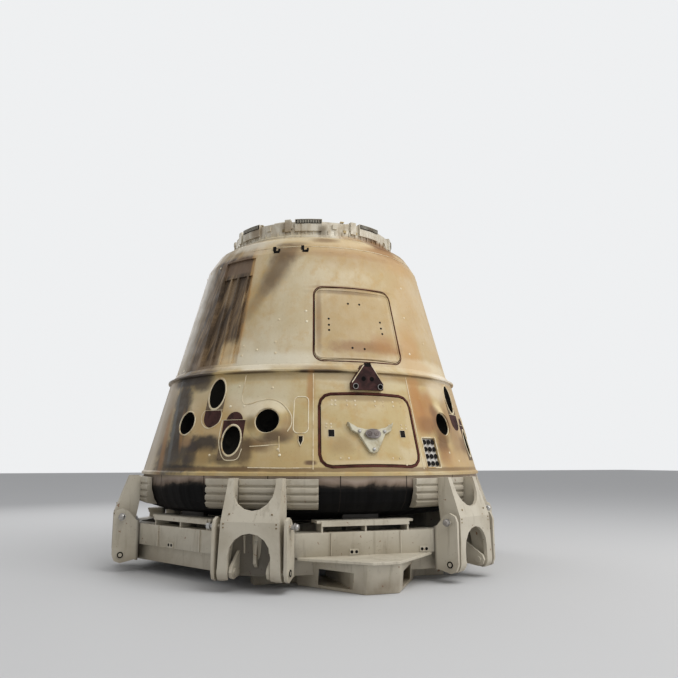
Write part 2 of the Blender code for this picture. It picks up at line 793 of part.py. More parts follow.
def build_top():
    """The shoulder, the berthing ring with its segments and guides, and the forward hatch."""
    seat = UPPER_TOP
    rise = SHOULDER_TOP - UPPER_TOP
    inward = upper_radius(UPPER_TOP) - SHOULDER_RADIUS
    # shares of the shoulder's run inwards and of its rise
    curve_shares = ((0.0, 0.0), (0.18, 0.35), (0.39, 0.71), (0.73, 0.95), (1.0, 1.0))
    outer = [
        (upper_radius(UPPER_TOP) - inward * run, LIFT + seat + rise * lift)
        for run, lift in curve_shares
    ]
    outline = outer + [
        (SHOULDER_BORE, LIFT + SHOULDER_TOP),
        (SHOULDER_BORE, LIFT + SHOULDER_TOP - SHOULDER_WALL),
        (SHOULDER_RADIUS, LIFT + SHOULDER_TOP - SHOULDER_WALL),
        (upper_radius(UPPER_TOP) - UPPER_WALL, LIFT + seat),
    ]
    done(turned("shoulder_ring", outline, facet=TOP_FACET_DEG), "scorched_paint")
    bottom = LIFT + SHOULDER_TOP + SEAT_GAP
    outline = [
        (BERTH_BORE, bottom),
        (SHOULDER_RADIUS - SEAT_GAP, bottom),
        (SHOULDER_RADIUS - SEAT_GAP, bottom + BERTH_FOOT),
        (BERTH_RADIUS, bottom + BERTH_FOOT + BERTH_LIP),
        (BERTH_RADIUS, LIFT + BERTH_TOP),
        (BERTH_BORE, LIFT + BERTH_TOP),
    ]
    ring = turned("berthing_ring", outline, facet=TOP_FACET_DEG)
    segments = []
    top = LIFT + BERTH_TOP + SEGMENT_RISE
    outline = [
        (BERTH_RADIUS - GUIDE_THICK, LIFT + BERTH_TOP - SEGMENT_DROP),
        (BERTH_RADIUS + SEGMENT_PROUD, LIFT + BERTH_TOP - SEGMENT_DROP),
        (BERTH_RADIUS + SEGMENT_PROUD, top),
        (BERTH_RADIUS - GUIDE_THICK, top),
    ]
    for index in range(SEGMENT_COUNT):
        for offset, half in SEGMENT_BLOCKS_DEG:
            middle = FIRST_SEGMENT_DEG + offset + index * 360 / SEGMENT_COUNT
            sides = (middle - half, middle + half)
            segments.append(turned("segment", outline, *sides, TOP_FACET_DEG))
    for index in range(GUIDE_COUNT):
        middle = (index + 0.25) * 360 / GUIDE_COUNT
        low = LIFT + BERTH_TOP - BERTH_LIP
        outline = [
            (BERTH_BORE + BERTH_LIP, low),
            (BERTH_BORE + BERTH_LIP + GUIDE_THICK, low),
            (BERTH_BORE + GUIDE_THICK - GUIDE_LEAN / 2, low + GUIDE_RISE + SEGMENT_RISE),
            (BERTH_BORE - GUIDE_LEAN / 2, low + GUIDE_RISE + SEGMENT_RISE),
        ]
        sides = (middle - GUIDE_DEG, middle + GUIDE_DEG)
        segments.append(turned("guide", outline, *sides, TOP_FACET_DEG))
    done(fuse(ring, *segments), "bare_metal")
    build_forward_hatch(bottom)


def build_forward_hatch(bottom):
    """The plate that closes the cabin's top and the rounded square hatch that sits in it."""
    low = LIFT + SHOULDER_TOP - SHOULDER_WALL
    outline = [
        (0, low),
        (SHOULDER_BORE - SEAT_GAP, low),
        (SHOULDER_BORE - SEAT_GAP, low + TOP_PLATE),
        (0, low + TOP_PLATE),
    ]
    done(turned("top_bulkhead", outline, facet=TOP_FACET_DEG), "bare_metal")
    half = HATCH_HALF
    square = [(-half, -half), (half, -half), (half, half), (-half, half)]
    base = low + TOP_PLATE + SEAT_GAP
    hatch = prism(
        "forward_hatch", rounded(square, HATCH_CORNER), Matrix.Identity(4), base, base + HATCH_PLATE
    )
    half = HATCH_HALF - HATCH_PAN_INSET
    square = [(-half, -half), (half, -half), (half, half), (-half, half)]
    corner = HATCH_CORNER - HATCH_PAN_INSET
    pan = prism(
        "pan",
        rounded(square, corner),
        Matrix.Identity(4),
        base + HATCH_PLATE - HATCH_PAN,
        base + HATCH_PLATE + OVERRUN,
    )
    done(cut(hatch, pan), "bare_metal")


def build_bay():
    """The service bay: its seal, hinged door, hinge rod and open box."""
    sizes = (lower_radius, BAY_HALF_DEG, BAY_BOTTOM, BAY_TOP, BAY_CORNER)
    sector = (BASE_RING_TOP, LOWER_TOP)
    outline = shell_outline(lower_radius, *sector, LOWER_WALL, SEAL_PROUD)
    sides = (-BAY_SECTOR_DEG, BAY_SECTOR_DEG)
    seal = turned("bay_seal", outline, *sides)
    seal = keep(seal, door_prism("outside", *sizes, SEAT_GAP))
    seal = cut(seal, door_prism("inside", *sizes, SEAL_WIDTH))
    done(seal, "dark_seal")
    line = hinge_line(*sizes[:4], SEAL_WIDTH + BAY_GAP / 2)
    door = turned("bay_door", shell_outline(lower_radius, *sector, LOWER_WALL), *sides)
    door = keep(door, door_prism("edge", *sizes, SEAL_WIDTH + BAY_GAP))
    done(hang(door, line), "scorched_paint")
    hinge_rod("bay_hinge_rod", line, BAY_GAP * ROD_RADIUS_SHARE)
    build_bay_box()


def build_bay_box():
    """The open box behind the bay door, its mouth trimmed to the inside of the shell."""
    low, high = LIFT + BASE_RING_TOP + SEAT_GAP, LIFT + BAY_BOX_TOP
    wall = BAY_BOX_WALL
    front, back = -BASE_RADIUS - OVERRUN, -BAY_BOX_BACK
    box = block("bay_box", (-BAY_BOX_HALF, front, low), (BAY_BOX_HALF, back, high))
    room = block(
        "room",
        (wall - BAY_BOX_HALF, front - OVERRUN, low + wall),
        (BAY_BOX_HALF - wall, back - wall, high - wall),
    )
    depth = LOWER_WALL / math.cos(math.radians(TAPER_DEG)) + SEAT_GAP
    bottom, top = -OVERRUN, BAY_BOX_TOP + OVERRUN
    outline = [
        (lower_radius(bottom) - depth, LIFT + bottom),
        (BASE_RADIUS + LOWER_WALL + 2 * OVERRUN, LIFT + bottom),
        (BASE_RADIUS + LOWER_WALL + 2 * OVERRUN, LIFT + top),
        (lower_radius(top) - depth, LIFT + top),
    ]
    outside = turned("outside", outline, -SIDE_SECTOR_DEG, SIDE_SECTOR_DEG)
    done(cut(box, room, outside), "bare_metal")


def build_side_hatch():
    """The side hatch in the upper shell and its hinge rod."""
    sizes = (upper_radius, SIDE_HALF_DEG, SIDE_BOTTOM, SIDE_TOP, SIDE_CORNER)
    line = hinge_line(*sizes[:4], SIDE_GAP / 2)
    outline = shell_outline(upper_radius, MID_TOP, UPPER_TOP, UPPER_WALL)
    hatch = turned("side_hatch", outline, -SIDE_SECTOR_DEG, SIDE_SECTOR_DEG)
    hatch = keep(hatch, door_prism("edge", *sizes, SIDE_GAP))
    done(hang(hatch, line), "scorched_paint")
    hinge_rod("side_hinge_rod", line, SIDE_GAP * ROD_RADIUS_SHARE)


def build_fittings():
    """The claw on the bay door and the release fitting between the shells."""
    middle = polar(lower_radius(CLAW_HEIGHT), 0, LIFT + CLAW_HEIGHT)
    slope = math.radians(TAPER_DEG)
    frame = facing(middle, (1, 0, 0), (0, math.sin(slope), math.cos(slope)))
    # half of the claw's outline, as shares of its span
    half_shares = ((0.0, 0.20), (0.30, 0.20), (0.62, 0.27), (1.0, 0.50), (0.85, 0.14), (0.58, 0.0))
    foot_shares = ((0.17, -0.74), (0.0, -0.80))
    right = [(CLAW_SPAN * x, CLAW_SPAN * y) for x, y in half_shares + foot_shares]
    outline = right + [(-x, y) for x, y in reversed(right[1:-1])]
    claw = prism("claw_bracket", outline, frame, -OVERRUN, CLAW_THICK)
    oval = [
        (x * CLAW_BOSS_LONG, y * CLAW_BOSS_HIGH) for x, y in circle((0, 0), 1.0, PIN_SIDES)
    ]
    boss = prism("boss", oval, frame, 0.0, CLAW_THICK + CLAW_BOSS)
    claw = fuse(claw, boss)
    skin = shell_outline(
        lower_radius, BASE_RING_TOP, LOWER_TOP, LOWER_WALL + OVERRUN, SEAT_GAP
    )
    claw = cut(claw, turned("door", skin, -BAY_SECTOR_DEG, BAY_SECTOR_DEG))
    done(hang(claw, bay_line()), "bare_metal")

    outline = [
        (-RELEASE_HALF, LIFT + RELEASE_BOTTOM),
        (RELEASE_HALF, LIFT + RELEASE_BOTTOM),
        (RELEASE_HALF, LIFT + RELEASE_CORNER),
        (RELEASE_NOSE, LIFT + RELEASE_TOP),
        (-RELEASE_NOSE, LIFT + RELEASE_TOP),
        (-RELEASE_HALF, LIFT + RELEASE_CORNER),
    ]
    upright = facing((0, 0, 0), (1, 0, 0), (0, 0, 1))
    face = lower_radius(RELEASE_BOTTOM) + RELEASE_PROUD
    fitting = prism("release_fitting", outline, upright, UPPER_RADIUS - MID_LEDGE, face)
    skin = [
        (UPPER_RADIUS - MID_LEDGE - OVERRUN, LIFT + RELEASE_BOTTOM - OVERRUN),
        (lower_radius(RELEASE_BOTTOM - OVERRUN) + SEAT_GAP, LIFT + RELEASE_BOTTOM - OVERRUN),
        (lower_radius(LOWER_TOP) + SEAT_GAP, LIFT + LOWER_TOP - SEAT_GAP),
        (lower_radius(LOWER_TOP) + LIP_REACH + SEAT_GAP, LIFT + LIP_START - SEAT_GAP),
        (lower_radius(LOWER_TOP) + LIP_REACH + SEAT_GAP, LIFT + LIP_END + SEAT_GAP),
        (
            lower_radius(LOWER_TOP) + LIP_REACH - COVE_IN + SEAT_GAP,
            LIFT + LIP_END + COVE_RISE + SEAT_GAP,
        ),
        (UPPER_RADIUS + COVE_RISE + SEAT_GAP, LIFT + MID_TOP - COVE_RISE + SEAT_GAP),
        (UPPER_RADIUS + SEAT_GAP, LIFT + MID_TOP + OVERRUN),
        (UPPER_RADIUS - MID_LEDGE - OVERRUN, LIFT + MID_TOP + OVERRUN),
    ]
    skins = turned("skins", skin, -BAY_SECTOR_DEG, BAY_SECTOR_DEG)
    done(cut(fitting, skins), "maroon_fitting")


def bay_line():
    """The line that the bay door turns about."""
    return hinge_line(lower_radius, BAY_HALF_DEG, BAY_BOTTOM, BAY_TOP, SEAL_WIDTH + BAY_GAP / 2)


def build_nozzles():
    """Each group's four nozzles, flush with the shell and carried by a plate behind it."""
    for index, middle in enumerate(GROUP_MIDDLES_DEG):
        back = (LOWER_WALL + CARRIER_INSET, LOWER_WALL + CARRIER_INSET + CARRIER_THICK)
        outline = shell_outline(lower_radius, CARRIER_BOTTOM, CARRIER_TOP, back[1], -back[0])
        plate = turned(
            f"nozzles_{index + 1}", outline, middle - CARRIER_HALF_DEG, middle + CARRIER_HALF_DEG
        )
        cups, bores = [], []
        for mouth, outward, radius in port_axes(middle):
            end = mouth - outward * NOZZLE_LENGTH
            tip = mouth + outward * NOZZLE_LENGTH
            cups.append(rod("cup", end, tip, radius - SEAT_GAP, PORT_SIDES))
            floor = end + outward * NOZZLE_END
            beyond = tip + outward * OVERRUN
            bores.append(rod("bore", floor, beyond, radius - NOZZLE_WALL, PORT_SIDES))
        outside = shell_outline(
            lower_radius, -OVERRUN - BASE_RING_TOP, LOWER_TOP + OVERRUN, 0.0, BASE_RADIUS
        )
        half = CARRIER_HALF_DEG + FACET_DEG
        trim = turned("trim", outside, middle - half, middle + half)
        plate = fuse(plate, *cups)
        done(cut(plate, trim, *bores), "nozzle_black")


def build_cradle_ring(shield):
    """The welded ring of six beams with its shelves and rests, notched for the fork pockets."""
    outline = [
        (RING_BACK, RING_TOP),
        (RING_FACE, RING_TOP),
        (RING_FACE, RING_BOTTOM),
        (WEB_OUT, RING_BOTTOM),
        (WEB_OUT, WEB_BOTTOM),
        (WEB_IN, WEB_BOTTOM),
        (WEB_IN, RING_BOTTOM),
        (RING_BACK, RING_BOTTOM),
    ]
    ring = hexagon_ring("cradle_ring", outline, FIRST_ARM_DEG)
    spacing = 360 / ARM_COUNT
    trim = [
        (0, WEB_BOTTOM - OVERRUN),
        (CORNER_FLAT, WEB_BOTTOM - OVERRUN),
        (CORNER_FLAT, RING_TOP + OVERRUN),
        (0, RING_TOP + OVERRUN),
    ]
    ring = keep(ring, hexagon_ring("trim", trim, FIRST_ARM_DEG + spacing / 2))
    tools = []
    for index in range(ARM_COUNT):
        middle = FIRST_ARM_DEG + spacing * (index + 0.5)
        turn = Matrix.Rotation(math.radians(middle), 4, "Z")
        shelf = shelf_frame()
        shelf.data.transform(turn)
        rest = [
            (REST_IN, SHELF_TOP - WELD_DEPTH),
            (REST_OUT, SHELF_TOP - WELD_DEPTH),
            (REST_OUT, LIFT - SHIELD_EDGE),
            (REST_IN, LIFT - SHIELD_EDGE),
        ]
        pad = turned("rest", rest, middle - REST_HALF_DEG, middle + REST_HALF_DEG)
        lowered = [(radius, height - SEAT_GAP) for radius, height in shield]
        pad = cut(pad, turned("shield", lowered))
        tools += [shelf, pad]
    ring = fuse(ring, *tools)
    pockets = []
    for azimuth in FOOT_AZIMUTHS_DEG:
        for pocket in fork_pockets():
            pocket.data.transform(Matrix.Rotation(math.radians(azimuth), 4, "Z"))
            pockets.append(pocket)
    done(cut(ring, *pockets), "cradle_white")


def shelf_frame():
    """One shelf at azimuth 0: a plate on three gussets, with a lip along its front."""
    inset = GUSSET_PLATE / 2
    foot = RING_TOP - WELD_DEPTH
    under = SHELF_TOP - SHELF_PLATE
    outline = [(-SHELF_HALF, SHELF_TOP), (-SHELF_HALF, under)]
    for offset in (-GUSSET_OFFSET, 0.0, GUSSET_OFFSET):
        outline += [
            (offset - inset, under),
            (offset - inset, foot),
            (offset + inset, foot),
            (offset + inset, under),
        ]
    outline += [(SHELF_HALF, under), (SHELF_HALF, SHELF_TOP)]
    upright = facing((0, 0, 0), (1, 0, 0), (0, 0, 1))
    shelf = prism("shelf", outline, upright, SHELF_BACK, RING_FACE - WELD_DEPTH)
    lip = block(
        "lip",
        (-SHELF_LIP_HALF, -RING_FACE, SHELF_TOP - SHELF_LIP),
        (SHELF_LIP_HALF, SHELF_LIP_PLATE - RING_FACE, SHELF_TOP - WELD_DEPTH / 2),
    )
    return fuse(shelf, lip)


def side_plate(name, outline, first, last):
    """A plate across the arm's direction at azimuth 0, its outline as (radius, height)."""
    sections = [
        [Vector((offset, -radius, height)) for radius, height in outline] for offset in (first, last)
    ]
    return loft(name, sections)


def build_corners():
    """The six corner units: back plate, ears, pivot pins and lock pins."""
    back = CORNER_FLAT + SEAT_GAP
    half = EAR_INSIDE + EAR_PLATE
    plate = block(
        "corner", (-half, -back - CORNER_PLATE, CORNER_BOTTOM), (half, -back, CORNER_TOP)
    )
    root = back + WELD_DEPTH
    pivot = (PIVOT_RADIUS_OUT, PIVOT_HEIGHT)
    lock = (PIVOT_RADIUS_OUT, LOCK_HEIGHT)
    outer = hull(
        circle(pivot, EAR_ROUND, PIN_SIDES)
        + circle(lock, EAR_ROUND, PIN_SIDES)
        + [(root, CORNER_BOTTOM + WELD_DEPTH), (root, CORNER_TOP - WELD_DEPTH)]
    )
    inner = hull(
        circle(pivot, INNER_EAR_ROUND, PIN_SIDES)
        + [(root, CORNER_BOTTOM + WELD_DEPTH), (root, PIVOT_HEIGHT * 2)]
    )
    tools = []
    for side in (-1, 1):
        tools.append(side_plate("ear", outer, side * EAR_INSIDE, side * half))
        inside = side * INNER_EAR_INSIDE
        tools.append(side_plate("ear", inner, inside, inside + side * EAR_PLATE))
        pin = circle(pivot, PIN_RADIUS, PIN_SIDES)
        tools.append(
            side_plate("pin", pin, inside - side * PIN_HEAD, side * (half + PIN_HEAD))
        )
        bolt = circle(lock, LOCK_RADIUS, PIN_SIDES // 2)
        reach = side * (ARM_HALF_BOTTOM + RUNNING_GAP)
        tools.append(side_plate("lock", bolt, reach, side * (half + LOCK_HEAD)))
    front = back + CORNER_PLATE
    fin = [
        (front - WELD_DEPTH, CORNER_TOP - FIN_REACH),
        (front, CORNER_TOP - FIN_REACH),
        (front + FIN_REACH, RING_BOTTOM + FIN_REACH),
        (front + FIN_REACH, PIVOT_HEIGHT + FIN_REACH),
        (front - WELD_DEPTH, PIVOT_HEIGHT),
    ]
    tools.append(side_plate("fin", fin, -FIN_PLATE / 2, FIN_PLATE / 2))
    piece = done(fuse(plate, *tools), "cradle_white")
    around(piece, ARM_COUNT, FIRST_ARM_DEG, 360 / ARM_COUNT, "corner_{}")


def build_arms():
    """The six clamp arms: a folded skin between two cheeks, notched above and arched below."""
    pivot = (PIVOT_RADIUS_OUT, PIVOT_HEIGHT)
    round_foot = circle(pivot, ARM_ROUND, PIN_SIDES * 2)
    side = hull(
        round_foot
        + [
            (ARM_FACE, PIVOT_HEIGHT),
            (ARM_FACE, ARM_FOLD),
            (ARM_TOP_FACE, ARM_TOP),
            (ARM_BACK, ARM_TOP),
            (ARM_BACK, ARM_BACK_BOTTOM),
        ]
    )

    def half_width(height):
        drop = (ARM_TOP - height) / (ARM_TOP - PIVOT_HEIGHT)
        return ARM_HALF_TOP + (ARM_HALF_BOTTOM - ARM_HALF_TOP) * drop

    def body(name, outline, inset):
        sections = [
            [Vector((way * (half_width(height) - inset), -radius, height)) for radius, height in outline]
            for way in (-1, 1)
        ]
        return loft(name, sections)

    arm = body("arm", side, 0.0)
    room = [
        (ARM_FACE - ARM_SKIN, PIVOT_HEIGHT - ARM_ROUND - OVERRUN),
        (ARM_FACE - ARM_SKIN, ARM_FOLD),
        (ARM_TOP_FACE - ARM_SKIN, ARM_TOP),
        (ARM_TOP_FACE - ARM_SKIN, ARM_TOP + OVERRUN),
        (ARM_BACK - OVERRUN, ARM_TOP + OVERRUN),
        (ARM_BACK - OVERRUN, PIVOT_HEIGHT - ARM_ROUND - OVERRUN),
    ]
    tools = [body("room", room, ARM_CHEEK)]
    upright = facing((0, 0, 0), (1, 0, 0), (0, 0, 1))
    width = ARM_NOTCH_HALF
    notch = circle((0, ARM_NOTCH_BOTTOM + width), width, PIN_SIDES * 2)
    notch = hull(notch + [(-width, ARM_TOP + OVERRUN), (width, ARM_TOP + OVERRUN)])
    tools.append(prism("notch", notch, upright, ARM_BACK - OVERRUN, ARM_FACE + OVERRUN))
    width = ARM_ARCH_HALF
    low = PIVOT_HEIGHT - ARM_ROUND - OVERRUN
    arch = circle((0, ARM_ARCH_TOP - width), width, PIN_SIDES * 2)
    arch = hull(arch + [(-width, low), (width, low)])
    tools.append(prism("arch", arch, upright, ARM_BACK - OVERRUN, ARM_FACE + OVERRUN))
    bore = circle(pivot, (PIN_RADIUS + SEAT_GAP) / math.cos(math.pi / PIN_SIDES), PIN_SIDES, 0.5)
    half = ARM_HALF_BOTTOM + OVERRUN
    tools.append(side_plate("bore", bore, -half, half))
    arm = done(cut(arm, *tools), "cradle_white")
    around(
        arm, ARM_COUNT, FIRST_ARM_DEG, 360 / ARM_COUNT, "arm_{}", Vector((0, -pivot[0], pivot[1]))
    )
    build_pads(Vector((0, -pivot[0], pivot[1])))


def build_pads(pivot):
    """The six ribbed pads that the arms press round the heat shield's skirt."""
    clear = SHIELD_RADIUS + PAD_GAP
    lean = clear - SHIELD_HEEL_IN
    outline = [
        (lean - SHIELD_HEEL_IN, PAD_BOTTOM),
        (lean, LIFT - SHIELD_HEEL),
        (clear, LIFT - SHIELD_SKIRT),
        (clear, PAD_TOP),
    ]
    pitch = (PAD_TOP - PAD_BOTTOM) / PAD_RIBS
    for rib in range(PAD_RIBS):
        top = PAD_TOP - rib * pitch
        drop = PAD_LEAN if rib == PAD_RIBS - 1 else 0.0
        outline += [
            (PAD_RADIUS - PAD_GROOVE * (rib > 0), top),
            (PAD_RADIUS, top - pitch / PAD_RIBS),
            (PAD_RADIUS - drop / 2, top - pitch * (1 - 1 / PAD_RIBS)),
        ]
    outline.append((PAD_RADIUS - PAD_GROOVE - PAD_LEAN, PAD_BOTTOM))
    outline.reverse()
    pad = turned("pad", outline, -PAD_HALF_DEG, PAD_HALF_DEG)
    near = ARM_HALF_TOP - ARM_CHEEK - RUNNING_GAP
    far = ARM_HALF_BOTTOM + RUNNING_GAP
    seats = [
        block(
            "seat",
            (low, -PAD_RADIUS - OVERRUN, PAD_BOTTOM - OVERRUN),
            (high, SEAT_GAP - ARM_BACK, PAD_TOP + OVERRUN),
        )
        for low, high in ((-far, -near), (near, far))
    ]
    pad = done(cut(pad, *seats), "cradle_white")
    around(pad, ARM_COUNT, FIRST_ARM_DEG, 360 / ARM_COUNT, "pad_{}", pivot)


def fork_pockets():
    """The two through spaces for a lift truck's forks in the foot at azimuth 0."""
    pockets = []
    for side in (-1, 1):
        middle = side * POCKET_OFFSET
        half = POCKET_WIDTH / 2
        pockets.append(
            block(
                "pocket",
                (middle - half, -FOOT_PLATE_NOSE - OVERRUN, POCKET_BOTTOM),
                (middle + half, OVERRUN - FOOT_BACK, POCKET_TOP),
            )
        )
    return pockets


def build_feet():
    """The front and rear feet: a tapering box with fork pockets, a top plate and low wings."""
    top = RING_BOTTOM - SEAT_GAP
    under = top - FOOT_PLATE

    def plan(nose, nose_half, side, half, height):
        return [
            Vector((x, -y, height))
            for x, y in (
                (-nose_half, nose),
                (nose_half, nose),
                (half, side),
                (half, FOOT_BACK),
                (-half, FOOT_BACK),
                (-half, side),
            )
        ]

    lower = plan(FOOT_NOSE, FOOT_NOSE_HALF, FOOT_SIDE, FOOT_SIDE_HALF, 0)
    wide = FOOT_SIDE_HALF + FOOT_SPREAD
    slant = (FOOT_NOSE - FOOT_SIDE) / (FOOT_SIDE_HALF - FOOT_NOSE_HALF)
    nose = FOOT_NOSE + FOOT_SPREAD
    side = nose - (wide - FOOT_NOSE_HALF) * slant
    upper = plan(nose, FOOT_NOSE_HALF, side, wide, under + WELD_DEPTH)
    foot = loft("foot", [lower, upper])
    sizes = (FOOT_PLATE_NOSE, FOOT_PLATE_NOSE_HALF, FOOT_PLATE_SIDE, FOOT_PLATE_HALF)
    plate = loft("plate", [plan(*sizes, under), plan(*sizes, top)])
    wing = block("wing", (-WING_HALF, -WING_FACE, 0), (WING_HALF, WELD_DEPTH - FOOT_BACK, WING_TOP))
    foot = fuse(foot, plate, wing)
    tools = fork_pockets()
    half = FOOT_PLATE_HALF + OVERRUN
    tools.append(
        block(
            "web",
            (-half, -WEB_OUT - SEAT_GAP, WEB_BOTTOM - SEAT_GAP),
            (half, SEAT_GAP - WEB_IN, RING_BOTTOM + OVERRUN),
        )
    )
    foot = done(cut(foot, *tools), "cradle_white")
    for name, azimuth in zip(("foot_front", "foot_rear"), FOOT_AZIMUTHS_DEG):
        around(foot.copy(), 1, azimuth, 0.0, name)
    bpy.data.objects.remove(foot)


def main():
    """Build every piece of the capsule and its cradle."""
    for old in list(bpy.data.objects):
        bpy.data.objects.remove(old)
    shield = shield_outline()
    done(turned("heat_shield", shield), "charred_tile")
    build_rings()
    build_lower_shell()
    build_connector_panel()
    build_upper_shell()
    build_top()
    build_bay()
    build_side_hatch()
    build_fittings()
    build_nozzles()
    build_cradle_ring(shield)
    build_corners()
    build_arms()
    build_feet()


main()
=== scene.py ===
"""Looks of the blunt-bodied space capsule in its handling cradle.

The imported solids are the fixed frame. Each class below dresses one sub-assembly: it shades copies
of the frame's nodes, adds the fine pieces as numpy surfaces and gives them procedural finishes.
Lengths are in metres. An azimuth is in degrees from -Y towards +X, and a height on the capsule is
measured from its base plane.
"""

import json
import logging
import math
from dataclasses import dataclass, field
from enum import Enum

import bmesh
import bpy
import numpy as np
from mathutils import Euler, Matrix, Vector

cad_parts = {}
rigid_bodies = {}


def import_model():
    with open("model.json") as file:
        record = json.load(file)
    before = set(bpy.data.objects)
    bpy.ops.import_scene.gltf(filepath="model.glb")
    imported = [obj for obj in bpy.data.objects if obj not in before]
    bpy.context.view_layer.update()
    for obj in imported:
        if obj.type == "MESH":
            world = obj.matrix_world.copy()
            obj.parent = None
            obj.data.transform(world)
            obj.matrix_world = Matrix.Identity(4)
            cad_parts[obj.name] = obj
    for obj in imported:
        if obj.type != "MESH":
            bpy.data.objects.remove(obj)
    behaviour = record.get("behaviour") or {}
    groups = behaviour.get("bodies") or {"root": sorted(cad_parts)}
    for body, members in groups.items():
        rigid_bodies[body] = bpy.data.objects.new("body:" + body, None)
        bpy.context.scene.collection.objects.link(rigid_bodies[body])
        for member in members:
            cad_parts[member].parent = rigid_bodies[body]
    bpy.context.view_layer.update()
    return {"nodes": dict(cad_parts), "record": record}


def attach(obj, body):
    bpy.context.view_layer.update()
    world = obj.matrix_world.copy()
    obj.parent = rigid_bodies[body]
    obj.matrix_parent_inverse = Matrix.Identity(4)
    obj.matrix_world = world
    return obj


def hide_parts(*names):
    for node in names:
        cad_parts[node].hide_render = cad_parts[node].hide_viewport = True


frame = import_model()
LOG = logging.getLogger("capsule")

ROOT = "capsule_and_cradle"
BAY_BODY = "bay_door_body"
HATCH_BODY = "side_hatch_body"

# Sizes of the frame that the fine pieces follow
LIFT = 0.97
TAPER = math.tan(math.radians(15.0))
SLOPE = math.radians(15.0)
BASE_RADIUS = 1.875
LOWER_TOP = 0.953
MID_TOP = 1.038
UPPER_RADIUS = BASE_RADIUS - MID_TOP * TAPER - 0.031
BERTH_RADIUS = 0.93
BERTH_TOP = 2.692
SEGMENT_RISE = 0.025
SEGMENT_FACE = 0.952
SEGMENTS_DEG = tuple(-21.0 + 45.0 * index for index in range(8))
RING_FACE = 1.800
FIRST_ARM_DEG = -32.0
ARM_COUNT = 6
PORT_GROUPS = (-47.0, 46.2, 133.0, 227.0)
# columns: azimuth from the group's middle, height, radius, pitch above level
PORTS = ((-15.4, 0.484, 0.120, 15.0), (-4.15, 0.760, 0.100, 66.0),
         (4.5, 0.308, 0.100, -32.0), (15.4, 0.484, 0.120, 15.0))
# columns: share of the port's radius and depth behind the mouth, down a cup's inner face
CUP_ROWS = ((0.940, 0.0), (0.938, 0.035), (0.90, 0.065), (0.80, 0.090), (0.62, 0.108), (0.34, 0.120))
SIT = 0.0012  # how far a thin piece stands on what carries it


class Slot(Enum):
    """The record's material slots."""

    WALL = "scorched_paint"
    TILE = "charred_tile"
    METAL = "bare_metal"
    SEAL = "dark_seal"
    MAROON = "maroon_fitting"
    NOZZLE = "nozzle_black"
    CRADLE = "cradle_white"
    STEEL = "pin_steel"


def linear(red: float, green: float, blue: float) -> tuple[float, float, float, float]:
    """Turn a display colour of 0 to 255 into the linear one that a shader takes.

    Args:
        red: display red.
        green: display green.
        blue: display blue.

    Returns:
        Linear red, green and blue with alpha 1.
    """
    parts = [value / 255 for value in (red, green, blue)]
    return (*[p / 12.92 if p <= 0.04045 else ((p + 0.055) / 1.055) ** 2.4 for p in parts], 1.0)


CREAM = linear(214, 202, 174)
UPPER_TAN = linear(185, 162, 118)
LOWER_TAN = linear(188, 166, 116)
GOLD = linear(186, 148, 88)


# Node graphs


